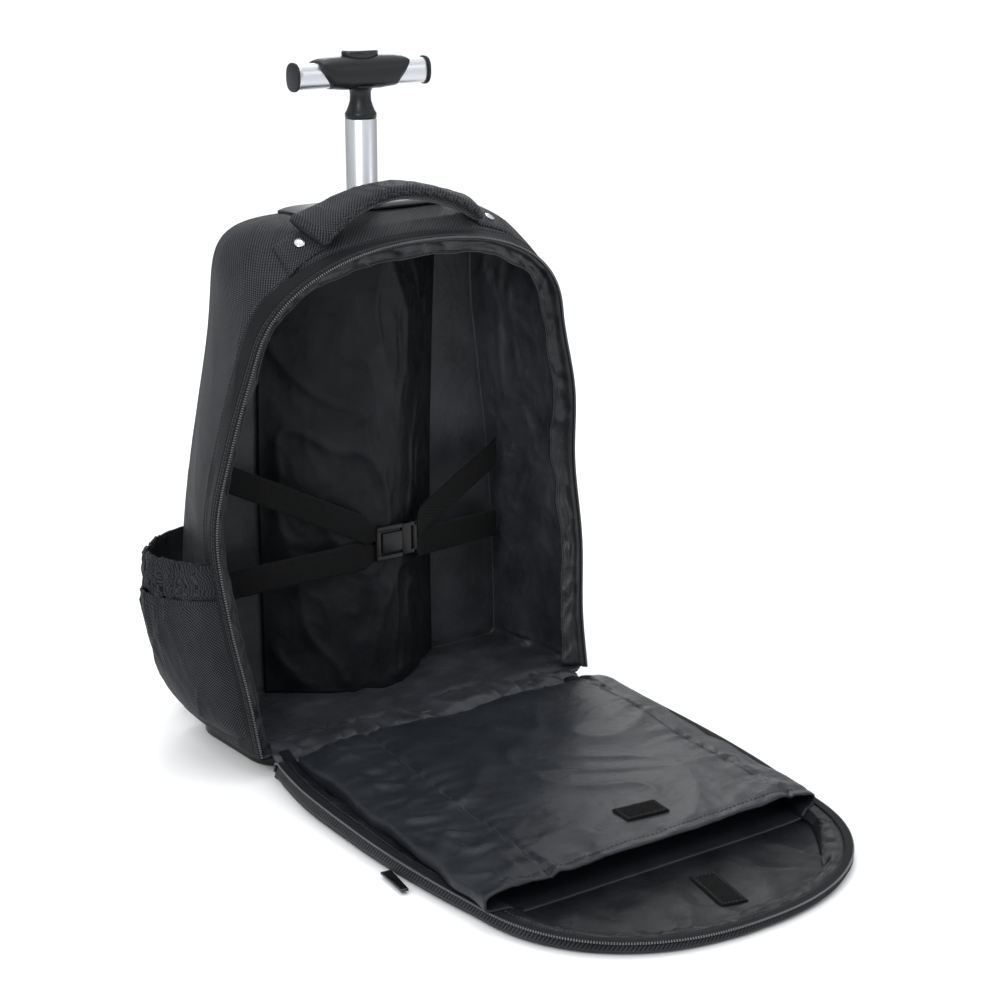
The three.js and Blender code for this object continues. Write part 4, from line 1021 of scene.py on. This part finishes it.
def sleeve_stitches(name, grid, spots, smooth):
    """Stitches over the sleeve's top along places given as x and along."""
    line = []
    for x, along in spots:
        away = np.hypot(grid[..., 0] - x, grid[..., 1] - along) - 1000 * (grid[..., 2] > 22)
        nearest = np.unravel_index(away.argmin(), away.shape)
        line.append([x, along, grid[nearest][2] + 0.15])
    line = np.array(line)
    if smooth:
        line[2:-2, 2] = np.convolve(line[:, 2], np.ones(5) / 5, "valid")
    stitches(f"sleeve_{name}", resample(set_down(line), 700), UP, (2.8, 0.8, 0.5), 4.2,
             material=dark_thread, covers=["laptop_sleeve"], lift=0.25)


def build_sleeve():
    """The sleeve on the panel: an envelope of lining with a loose, wrinkled top."""
    shares = np.concatenate([[0, 0.008, 0.018, 0.03, 0.05, 0.075], np.linspace(0.1, 1, 82)])
    grid = np.array([sleeve_ring(s, 0) for s in shares])
    under = np.array([sleeve_ring(s, 1.6) for s in shares])
    sway, lift = sleeve_folds(grid[..., 0], grid[..., 1], grid[..., 2], shares)
    moved = points(sway, 0, lift)
    grid, under = grid + moved, under + moved
    outer, inner = set_down(grid)[:, ::-1], set_down(under)[:, ::-1]
    sleeve = lay("laptop_sleeve_cloth", outer, sleeve_cloth, inner=inner, wrap=True,
                 covers=["laptop_sleeve"])
    cloth(outer, wrap=True)
    for name, seam in zip(("left", "right"), SLEEVE_SEAMS):
        spots = [(mix(*seam, (y - SLEEVE_START) / SLEEVE_LENGTH), y)
                 for y in np.linspace(SLEEVE_START + 14, SLEEVE_END - 4, 50)]
        sleeve_stitches(f"stitches_{name}", grid, spots, smooth=True)
    hem = [(x, HEM_ALONG) for x in np.linspace(-150, 138, 60)]
    sleeve_stitches("hem_stitches", grid, hem, smooth=False)


def on_panel(x, along, low, turn):
    """The way from a patch's own frame to its place on the panel."""
    c, s = math.cos(turn), math.sin(turn)

    def move(v):
        return on_floor(x + c * v[..., 0] - s * v[..., 1], along - s * v[..., 0] - c * v[..., 1],
                        low + v[..., 2])

    return move


def build_patch(name, half, thick, place, covers, seed):
    """A patch of hook-and-loop tape: a rough pile with a sewn border."""
    y, x = spread((half[1], -half[1], 61), (-half[0], half[0], 61))
    border = np.minimum(half[0] - np.abs(x), half[1] - np.abs(y))
    pile = 0.4 * noise(x / 0.8, y / 0.8, seed) * step(0.4, 1.4, border) - 0.5 * bump(border, 2.2, 0.6)
    top = thick * (0.5 + 0.4 * step(0, 1.2, border)) + pile
    patch = lay(name, place(points(x, y, top)), fuzz, inner=place(points(x, y, 0)),
                covers=covers)
    cloth(points(x, y, 0))
    turns = np.array([(-1, -1, 0), (1, -1, 0), (1, 1, 0), (-1, 1, 0), (-1, -1, 0)], float)
    line = resample(turns * (half[0] - 2.2, half[1] - 2.2, 0) + (0, 0, thick * 0.75), 400)
    stitches(name + "_stitches", place(line), UP, (2.0, 0.45, 0.3), 3.2, covers=covers)


def build_patches():
    """The sleeve's loop patch, the hook strip on the panel and the zip pull at the panel's side."""
    top = mix(FLOOR_TIP + 1, SLEEVE_TOP, 0.952) + GAP
    build_patch("loop_square", (19, 11), 2, on_panel(LOOP_X, LOOP_ALONG, top, -0.1),
                ["loop_patch"], 121)
    build_patch("hook_strip", (11, 25), 2.5, on_panel(HOOK_X, HOOK_ALONG, panel_floor(0.84) + 0.6, -0.2),
                ["hook_tab"], 122)
    block("zip_pull", (-4.5, -17, 0), (4.5, 17, 2.5), 0.9, gloss, taper=0.7,
          turn=on_panel(-panel_edge(PULL_SHARE) - 7.7, PULL_SHARE * PANEL_LENGTH, 2, -0.12),
          covers=["pocket_zip_pull"])

# The pocket on the left side, with a gathered casing at its mouth


def pocket_grid(z, s, out, bulge):
    """Points of the pocket: z up, s from its front to its back seam."""
    height = (z - BASE_SEAM_Z) / OPENING_HEIGHT
    t = mix(*POCKET_SHARES, s)
    reach = bulge * np.sin(math.pi * np.clip(s, 0, 1)) ** 0.75
    x = body_lean(height, t) - body_half(height, t) - GAP - out - reach
    return points(x, body_y(height, t), body_z(height, t))


def build_pocket():
    """The pocket's pleated cloth, and over it the casing that its elastic gathers."""
    share, turn = spread((0, 1, 91), (0, math.pi, 181))
    s = 0.5 - 0.5 * np.cos(turn)
    bulge = POCKET_BULGE * table_value(POCKET_ROWS, 1, share)
    free = np.sin(math.pi * s) ** 0.5
    fan = (s - 0.5) * mix(1.0, 1.25, share)
    pleat = creases(fan * 19, share * 0.9, 81, 3) * step(0.3, 1, share)
    slack = creases(fan * 6 + share * 2, share * 2.6, 83, 3)
    flat = -1.4 + 3.4 * step(0, 0.05, np.minimum(s, 1 - s))
    folds = 3.4 * pleat + 2.4 * slack + 0.5 * noise(s * 40, share * 9, 84)
    grid = pocket_grid(mix(*POCKET_Z, share), s, flat + folds * free * step(0, 0.12, share), bulge)
    pocket = lay("pocket_cloth", grid[::-1], twill, thick=1.5, covers=["side_pocket"])
    cloth(grid)

    share = np.linspace(0, 1, 41)[:, None]
    ends = step(0, 0.04, share) * step(0, 0.06, 1 - share)
    ruffle = 2.4 * creases(s * 25, share * 0.7, 85, 3) - 1.0 + 0.7 * noise(s * 71, share * 1.4, 86)
    out = flat + 0.6 + (1.9 * ruffle + 1.2 * np.sin(math.pi * share)) * ends * free
    z = POCKET_Z[1] + GAP + share * CASING_HEIGHT + 1.3 * noise(s * 19, 0, 87) * free * share
    grid = pocket_grid(z, s, out, POCKET_BULGE * mix(0.96, 0.9, share))
    casing = lay("pocket_casing", grid[::-1], twill, thick=2.2, covers=["pocket_elastic"])
    cloth(grid)
    for name, row in (("lower", 2), ("upper", 37)):
        stitches(f"casing_stitches_{name}", grid[row], -normals(grid)[row], count=600,
                 covers=["pocket_elastic"], lift=-0.05)


# Inside the back: a soft cover over the pole, and the straps that cross over it


def cover_y(x, z):
    across = np.minimum(1, np.abs(x) / COVER_HALF)
    front = POLE_Y - POLE_RADII["outer"] - 1
    return mix(inner_back_y(z) - 1, front, np.cos(across * math.pi / 2) ** 1.2)


def build_pole_cover():
    """The loose lining over the pole, with a piped seam down its middle."""
    low = BODY_BOTTOM_Z + CLOTH
    z, x = spread((low + GAP, COVER_TOP_Z, 151), (-COVER_HALF, COVER_HALF, 101))
    loose = creases(x / 24 + z / 200, z / 46, 91, 3) * 3.0 + 0.8 * creases(x / 10, z / 22, 92, 2)
    edge = step(0, 12, COVER_HALF - np.abs(x)) * step(0, 12, z - low)
    grid = points(x, cover_y(x, z) - 1.9 - loose * edge, z)
    cover = lay("pole_cover_cloth", grid, lining, thick=1.5, covers=["pole_cover"])
    cloth(grid)
    middle = resample(grid[:, 50] - (0, 0.2, 0), 800)
    cord("cover_seam", middle[::8], 0.9, lining, covers=["pole_cover"], up=(0, 1, 0))
    for side in (-1, 1):
        line = resample(grid[:, 50 + 2 * side] - (0, 0.1, 0), 800)
        stitches(f"cover_stitches_{side + 2}", line, FORWARD, (2.2, 0.5, 0.3), 4.2,
                 covers=["pole_cover"])


def smooth_line(line, count):
    """An even line that rounds the corners of a short one."""
    fine = resample(np.asarray(line, float), 200)
    window = np.hanning(31) / np.hanning(31).sum()
    for k in range(3):
        longer = np.pad(fine[:, k], 15, mode="reflect", reflect_type="odd")
        fine[:, k] = np.convolve(longer, window, "valid")
    return resample(fine, count)


def build_straps():
    """Four webbing straps from the side walls to the buckle; they lie on each other there."""
    s, q = np.linspace(0, 1, 90), np.linspace(-1, 1, 13)
    for name, side, seam_z, buckle_z, layer in STRAP_ROWS:
        start, end = side * STRAP_X, BUCKLE_X + side * (BUCKLE_HALF + GAP)
        front = -layer * 2.1
        marks = [(start, 38), (side * 144, 36 + front), (side * 46, 10.5 + front), (end, 2.4 + front)]
        line = smooth_line([(x, y, mix(seam_z, buckle_z, (start - x) / (start - end))) for x, y in marks],
                           len(s))
        half = WEB_WIDTH / 2 * mix(1, 0.55, step(0.93, 1, s))
        roll = 0.35 * np.sin(s * 9 + layer) * np.sin(math.pi * s)
        grid = line[:, None] + points(0, -roll[:, None] * q - 0.3 * (1 - q**2), half[:, None] * q)
        grid[..., 1] -= 0.3
        grid = grid if side > 0 else grid[:, ::-1]
        strap = lay(name + "_web", grid, webbing, thick=WEB_THICK, covers=[name])
        cloth(grid)


def build_buckle():
    """The fastened buckle, each half of rounded bars: left, front and low, then right, back and high."""
    y, left, right = BUCKLE_Y, BUCKLE_X - BUCKLE_HALF, BUCKLE_X + BUCKLE_HALF
    split = BUCKLE_X + BUCKLE_SPLIT
    low, high = BUCKLE_Z - BUCKLE_RISE, BUCKLE_Z + BUCKLE_RISE
    bars = {
        "socket_back": ((left, y - 1.0, low + 1), (split, y + 3.6, high - 1)),
        "socket_face": ((left + 6, y - 4.0, low + 6.5), (split, y - 0.5, high - 6.5)),
        "socket_upper_rail": ((left, y - 4.0, high - 4.4), (split, y + 3.8, high)),
        "socket_lower_rail": ((left, y - 4.0, low), (split, y + 3.8, low + 4.4)),
        "socket_bar": ((left, y - 3.6, low + 3), (left + 4.2, y + 3.4, high - 3)),
        "plug_body": ((split + GAP, y - 2.8, low + 1.2), (right - 6, y + 2.8, high - 1.2)),
        "plug_bar": ((right - 4, y - 2.6, low + 1.2), (right, y + 2.8, high - 1.2)),
        "plug_upper_rail": ((split + 2, y - 2.6, high - 5), (right, y + 2.8, high - 1.2)),
        "plug_lower_rail": ((split + 2, y - 2.6, low + 1.2), (right, y + 2.8, low + 5)),
    }
    for name, (near, far) in bars.items():
        half, radius = ("socket", 1.1) if name.startswith("socket") else ("plug", 1.0)
        block(f"buckle_{name}", near, far, radius, plastic, covers=[f"buckle_{half}"])


# The telescoping pole and its grip


def build_pole():
    """The three stages as open tubes."""
    for name, body, low, high in POLE_TUBES:
        r = POLE_RADII[name]
        lathe(f"pole_{name}_skin", [(r - 1.2, low), (r - 0.4, low), (r, low + 0.5), (r, high - 0.6),
                                    (r - 0.5, high), (r - 1.2, high)],
              (0, POLE_Y, 0), 2, aluminium, body, [f"pole_{name}_tube"], bored=True)


def build_bezel():
    """The bezel follows the body's top under it, with a sunk seat round the pole, and a collar."""
    y, x = spread((*BEZEL_Y, 61), (-BEZEL_HALF, BEZEL_HALF, 121))
    across = np.abs(x) / BEZEL_HALF
    along = np.abs(2 * (y - BEZEL_Y[0]) / (BEZEL_Y[1] - BEZEL_Y[0]) - 1)
    under = top_at(x + 0 * y, y + 0 * x) + GAP
    edge = np.maximum(across**6, along**6) + 0.25 * across**10 * along**4
    over = np.maximum(under + 2, BEZEL_TOP_Z - 3.5 * edge)
    hole = np.hypot(x, y - POLE_Y)
    over = over - 2.2 * (1 - step(17.5, 19.5, hole)) - 0.5 * bump(hole, 22.5, 0.8)
    over = np.where(hole < 15.5, np.minimum(over, under + 1), over)
    top, base = points(x, y, over)[:, ::-1], points(x, y, under)[:, ::-1]
    lay("bezel_skin", top, smooth_plastic, inner=base, covers=["pole_bezel"])
    bore = POLE_RADII["middle"] + 0.35
    lathe("bezel_collar", [(bore, 447), (18.6, 447), (18.6, 452.2), (17.9, 453.1), (16.2, 453.1),
                           (bore, 452.3)],
          (0, POLE_Y, 0), 2, smooth_plastic, bored=True)


def oval_ring(x, low, high, deep):
    angle = circle(96)
    y = POLE_Y + deep / 2 * power(np.cos(angle), 0.8)
    return points(x, y, mix(low, high, 0.5 + 0.5 * power(np.sin(angle), 0.8)))


def oval_bar(name, xs, overs, material, covers):
    """An oval bar of the grip from places along it and how far it stands out at each."""
    rings = [oval_ring(x, ARM_Z - ARM_THICK / 2 - over, ARM_Z + ARM_THICK / 2 + over, ARM_DEEP + 2 * over)
             for x, over in zip(xs, overs)]
    lay(name, np.array(rings), material, wrap=True, caps=True, body="pole_top", covers=covers)


def build_grip():
    """The hub with its neck, the two arms with their end caps, and the button."""
    tall = GRIP_HIGH - GRIP_LOW
    across = np.concatenate([np.linspace(0, 0.97, 60), [0.985, 0.996, 1.0, 1.0]])
    ends = np.concatenate([np.zeros(60), [0.25, 0.6, 1.2, 3.0]])
    rings = []
    for side in (-1, 1):
        half = []
        for a, end in zip(across, ends):
            lift, drop, deep = (np.interp(a, GRIP_ROWS[:, 0], GRIP_ROWS[:, k]) for k in (1, 2, 3))
            half.append(oval_ring(side * a * GRIP_HALF, GRIP_LOW + lift * tall + end,
                                  GRIP_HIGH - drop * tall - end, GRIP_DEEP * deep - 2 * end))
        rings += half[::-1] if side < 0 else half[1:]
    lay("grip_hub_skin", np.array(rings), grip, wrap=True, caps=True, body="pole_top",
        covers=["grip_hub"])
    lathe("grip_neck", [(0.5, 521.3), (12.8, 521.3), (13.25, 521.8), (13.25, 525.2), (12.6, 526.2),
                        (11.6, 528), (10.2, 531.5), (9.0, 535.7), (8.8, 540), (9.0, 543.5),
                        (10.6, 546.2), (12.5, 548), (0.5, 548)],
          (0, POLE_Y, 0), 2, grip, "pole_top", ["grip_hub"])
    for side, word in SIDES:
        oval_bar(f"grip_arm_{word}_skin", side * np.linspace(*ARM_X, 12), np.zeros(12), aluminium,
                 [f"grip_arm_{word}"])
        oval_bar(f"grip_cap_{word}_skin", side * np.array([63.4, 63.6, 64.2, 65.2, 65.8, 66]),
                 [0.2, 0.9, 1.3, 1.3, 0.9, 0.1], grip, [f"grip_cap_{word}"])
    angle, (half_x, half_y) = circle(96), BUTTON_HALF
    rings = [points((half_x - cut) * np.cos(angle), POLE_Y + (half_y - cut) * np.sin(angle), z)
             for z, cut in ((568.5, 0), (575, 0), (575.9, 0.3), (576.4, 1.0), (576.7, 2.4), (576.8, 5))]
    lay("push_button_skin", np.array(rings)[:, ::-1], button_plastic, wrap=True, caps=True,
        body="button", covers=["push_button"])


# The padded carry handle on the top, its sewn ends and their rivets


def build_carry_pad():
    """The padded handle: twill above, mesh below, piped along both edges and stitched across."""
    seats = top_at(np.array([CARRY_X - CARRY_HALF, CARRY_X + CARRY_HALF]), np.full(2, CARRY_Y))
    seats = seats + ANCHOR_THICK + CARRY_THICK * CARRY_END / 2 + 3 * GAP

    def path(across):
        low = mix(seats[0], seats[1], across / 2 + 0.5)
        lift = CARRY_TOP_Z - CARRY_THICK / 2 - low
        return points(CARRY_X + across * CARRY_HALF, CARRY_Y, low + lift * (1 - np.abs(across) ** 1.8))

    across = np.linspace(-1, 1, 121)
    middle = path(across)
    run = unit(path(np.minimum(1, across + 0.02)) - path(np.maximum(-1, across - 0.02)))
    normal = points(-run[:, 2], 0, run[:, 0])
    x = CARRY_X + across * CARRY_HALF
    tilt = (top_at(x, CARRY_Y + 10) - top_at(x, CARRY_Y - 10)) / 20 * np.abs(across) ** 3
    end = np.minimum(1, (1 - np.abs(across)) * 6 + CARRY_END)
    angle = circle(64)[None, :]
    out = CARRY_THICK / 2 * end[:, None] * power(np.sin(angle), 0.8)
    y = CARRY_WIDTH / 2 * mix(1, end, 0.4)[:, None] * power(np.cos(angle), 0.6)
    upper = (np.sin(angle) > 0) * 1.0
    tuck = bump(across, -0.18, 0.02) + bump(across, 0.24, 0.02)
    along = across[:, None]
    crumple = 0.8 * noise(along * 9, y / 14, 101) + 0.5 * creases(along * 8, y / 20, 102)
    out = out + upper * (crumple - 1.6 * tuck[:, None]) * np.sin(angle) ** 2
    grid = middle[:, None] + normal[:, None] * (out + y * tilt[:, None])[..., None] + points(0, y, 0)
    paint = np.zeros(grid.shape[:2], int)
    under = slice(34, 62)
    paint[:, under] = 1
    handle = lay("carry_handle_pad", grid, [twill, mesh_cloth], wrap=True, caps=True,
                 covers=["carry_handle"], paint=paint)
    at = np.arange(420)
    thin = 2.1 * np.minimum(1, 0.2 + np.minimum(at, 419 - at) / 16)
    for side, column in (("back", 0), ("front", 32)):
        cord(f"carry_piping_{side}", resample(grid[:, column], 420), thin, twill, sides=14,
             covers=["carry_handle"], lay_length=11)
    for side in (-1, 1):
        row = int(60 + side * 12)
        line = resample(grid[row, 3:30], 300)
        for shift in (-2.2, 2.2):
            stitches(f"carry_stitches_{side + 2}_{int(shift > 0)}", line + run[row] * shift, normal[row],
                     (2.2, 0.5, 0.4), covers=["carry_handle"])


def tilt_on_top(x, y):
    """The turn that lays a flat piece on the body's top at a place."""
    fall = math.atan2(top_at(x - 3, y) - top_at(x + 3, y), 6)
    lean = math.atan2(top_at(x, y + 3) - top_at(x, y - 3), 6)
    c, s = math.cos(fall), math.sin(fall)
    sideways = np.array([[c, 0, s], [0, 1, 0], [-s, 0, c]])
    c, s = math.cos(lean), math.sin(lean)
    return sideways @ np.array([[1, 0, 0], [0, c, -s], [0, s, c]])


def build_carry_ends():
    """The sewn ends of the handle, each with its rivet."""
    for side, word in SIDES:
        s, q = spread((-0.7, 0.6, 41), (-0.5, 0.5, 31))
        x = side * (ANCHOR_X + s * ANCHOR_LENGTH) + 0 * q
        y = ANCHOR_Y + q * ANCHOR_WIDTH + 0 * s
        border = np.minimum(np.minimum(s + 0.7, 0.6 - s) * ANCHOR_LENGTH, (0.5 - np.abs(q)) * ANCHOR_WIDTH)
        z = top_at(x, y) + 0.5 + ANCHOR_THICK * (0.55 + 0.45 * step(0, 2.4, border))
        z = z - 0.4 * bump(border, 3.2, 0.6)
        grid = points(x, y, z) if side < 0 else points(x, y, z)[:, ::-1]
        tab = lay(f"handle_anchor_{word}_cloth", grid, twill,
                  inner=points(grid[..., 0], grid[..., 1], top_at(grid[..., 0], grid[..., 1]) + 0.45),
                  covers=[f"handle_anchor_{word}"])
        cloth(grid)
        rim = np.concatenate([grid[5:-5, 4], grid[-5, 4:-4], grid[5:-5, -5][::-1]])
        stitches(f"anchor_stitches_{word}", rim, UP, (2.0, 0.5, 0.5), 3.2, 300,
                 covers=[f"handle_anchor_{word}"])
        x, y, r = side * ANCHOR_X, ANCHOR_Y, RIVET_RADIUS
        lathe(f"handle_rivet_{word}_skin",
              [(0.05, 0), (r, 0), (r, 0.25), (r * 0.96, 0.5), (r * 0.8, 0.75), (r * 0.74, 0.78),
               (r * 0.66, 0.95), (r * 0.45, 1.2), (r * 0.2, 1.32), (0.05, 1.35)],
              (x, y, float(top_at(x, y)) + ANCHOR_THICK + 4 * GAP), 2, chrome,
              covers=[f"handle_rivet_{word}"], lean=tilt_on_top(x, y), sides=48)

# The base, the wheels and the back


def repaint(piece, material):
    """Gives a piece that stays as it is a better material."""
    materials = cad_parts[piece].data.materials
    materials.clear()
    materials.append(material)


def build_base():
    """The base plate and the housings stay as they are; the wheels get a smooth tread and a hub."""
    repaint("base_plate", plastic)
    w, r = WHEEL_WIDTH / 2, WHEEL_RADIUS
    wheel_y = back_face_y(r * 2.0) + GAP + 4 + 1.5 + r
    near_side = [(4.3, -w), (r * 0.66, -w), (r * 0.7, -w + 1.2), (r * 0.74, -w), (r * 0.86, -w + 0.3),
                 (r * 0.95, -w + 2), (r, -w + 5), (r, -3), (r - 0.7, -2.4)]
    tread = near_side + [(radius, -height) for radius, height in near_side[::-1]]
    for side, word in SIDES:
        centre = (side * WHEEL_X, float(wheel_y), r + GAP)
        lathe(f"wheel_{word}_tread", tread, centre, 0, rubber, f"{word}_wheel",
              [f"wheel_{word}"], bored=True)
        repaint(f"wheel_housing_{word}", plastic)
        repaint(f"wheel_axle_{word}", chrome)


def rounded(share, exponent):
    return 1 - np.abs(2 * share - 1) ** exponent


def build_back_pad():
    """The padded back, quilted along two lines and across one."""
    s, q = spread((0, 1, 121), (0, 1, 121))
    x = mix(-PAD_HALF, PAD_HALF, q) * (1 - 0.08 * np.abs(2 * s - 1) ** 4)
    z = mix(*PAD_Z, s) + 0 * q
    edge = rounded(q, 6) * rounded(s, 6)
    quilt = 1.6 * (bump(np.abs(x), 44, 3.5) + bump(z, sum(PAD_Z) / 2, 3.5) * step(40, 48, np.abs(x)))
    puff = mix(2.2, PAD_THICK, edge**0.8) - quilt * edge + 0.5 * noise(x / 22, z / 22, 111)
    under = back_face_y(z) + PAD_SEAT
    pad = lay("back_pad_cloth", points(x, under + puff, z), mesh_cloth,
              inner=points(x, under, z), covers=["back_pad"])
    return pad


def strap_seat_y(z):
    return back_face_y(z) + SHOULDER_SEAT


def build_shoulder_straps(pad):
    """Two padded straps on the back and the webbing below them."""
    for side, word in SIDES:
        s, q = spread((1, 0, 141), (0, 1, 41))
        z = mix(*SHOULDER_Z, s) + 0 * q
        half = SHOULDER_HALF * mix(1, 0.72, s)
        x = side * mix(*SHOULDER_X, s**1.4) + mix(-half, half, q)
        edge = rounded(q, 4) * rounded(s, 24)
        puff = mix(2.4, 10, edge**0.7) - 1.1 * bump(np.abs(2 * q - 1), 0.78, 0.06) * edge
        seat_y = strap_seat_y(z)
        strap = lay(f"shoulder_strap_{word}_cloth", points(x, seat_y + puff, z), mesh_cloth,
                    inner=points(x, seat_y, z), covers=[f"shoulder_strap_{word}"])
        start, end = np.array(WEB_START) * (side, 1), np.array(WEB_END) * (side, 1)
        s, q = spread((0, 1, 61), (-1, 1, 9))
        way = (end - start) / np.linalg.norm(end - start) * WEB_WIDTH / 2
        x, z = mix(start[0], end[0], s) - way[1] * q, mix(start[1], end[1], s)
        grid = points(x, strap_seat_y(z + 0 * q) + 3.9, z + way[0] * q)
        grid = grid if normals(grid)[30, 4, 1] > 0 else grid[:, ::-1]
        web = lay(f"shoulder_webbing_{word}_web", grid, webbing, thick=WEB_THICK,
                  covers=[f"shoulder_webbing_{word}"])
        cloth(grid)


build_lining(build_shell())
build_zip()
build_binding()
build_panel_rim()
build_panel_floor()
build_hinge_web()
build_sleeve()
build_patches()
build_pocket()
build_pole_cover()
build_straps()
build_buckle()
build_pole()
build_bezel()
build_grip()
build_carry_pad()
build_carry_ends()
build_base()
build_shoulder_straps(build_back_pad())

# The floor, the light and the camera

white = Shader("floor", (0.9, 0.9, 0.9), 0.6, **{"Specular IOR Level": 0.2})
mesh = bpy.data.meshes.new("floor")
mesh.from_pydata([(-60, -60, 0), (60, -60, 0), (60, 60, 0), (-60, 60, 0)], [], [(0, 1, 2, 3)])
mesh.materials.append(white.material)
ground = bpy.data.objects.new("floor", mesh)
bpy.context.scene.collection.objects.link(ground)
ground.location.z = -0.0005

world = bpy.data.worlds.new("studio")
bpy.context.scene.world = world
world.use_nodes = True
sky = world.node_tree
spread = sky.nodes.new("ShaderNodeSeparateXYZ")
sky.links.new(sky.nodes.new("ShaderNodeTexCoord").outputs["Generated"], spread.inputs[0])
height = sky.nodes.new("ShaderNodeMapRange")
for socket, value in zip(range(1, 5), (0.0, 0.9, 0.35, 1.6)):
    height.inputs[socket].default_value = value
sky.links.new(spread.outputs[2], height.inputs[0])
sky.links.new(height.outputs[0], sky.nodes["Background"].inputs["Strength"])
sky.nodes["Background"].inputs["Color"].default_value = (0.97, 0.985, 1.0, 1)


def softbox(name, place, target, size, power):
    lamp = bpy.data.lights.new(name, "AREA")
    lamp.energy, lamp.shape, lamp.size, lamp.size_y = power, "RECTANGLE", *size
    made = bpy.data.objects.new(name, lamp)
    bpy.context.scene.collection.objects.link(made)
    made.location = place
    made.rotation_euler = (Vector(target) - Vector(place)).to_track_quat("-Z", "Y").to_euler()
    return made


middle = (0, -0.1, 0.22)
boxes = [
    softbox("key", (-1.9, -1.4, 1.7), middle, (0.8, 0.8), 30),
    softbox("fill", (1.6, -2.2, 1.1), middle, (0.9, 0.9), 5),
    softbox("top", (0.2, 0.2, 2.3), middle, (1.0, 1.0), 10),
    softbox("rim", (1.4, 1.7, 1.2), middle, (0.8, 0.8), 9),
]

bpy.context.scene.view_settings.view_transform = "Standard"

turn, tilt = math.radians(-37.3), math.radians(16.45)
camera = bpy.data.objects.new("camera", bpy.data.cameras.new("camera"))
camera.data.lens, camera.data.sensor_width = 74.68, 36
camera.location = (-0.9663, -1.4357, 0.7051)
back = Vector((math.sin(turn) * math.cos(tilt), -math.cos(turn) * math.cos(tilt), math.sin(tilt)))
camera.rotation_euler = (-back).to_track_quat("-Z", "Y").to_euler()
bpy.context.scene.collection.objects.link(camera)
bpy.context.scene.camera = camera
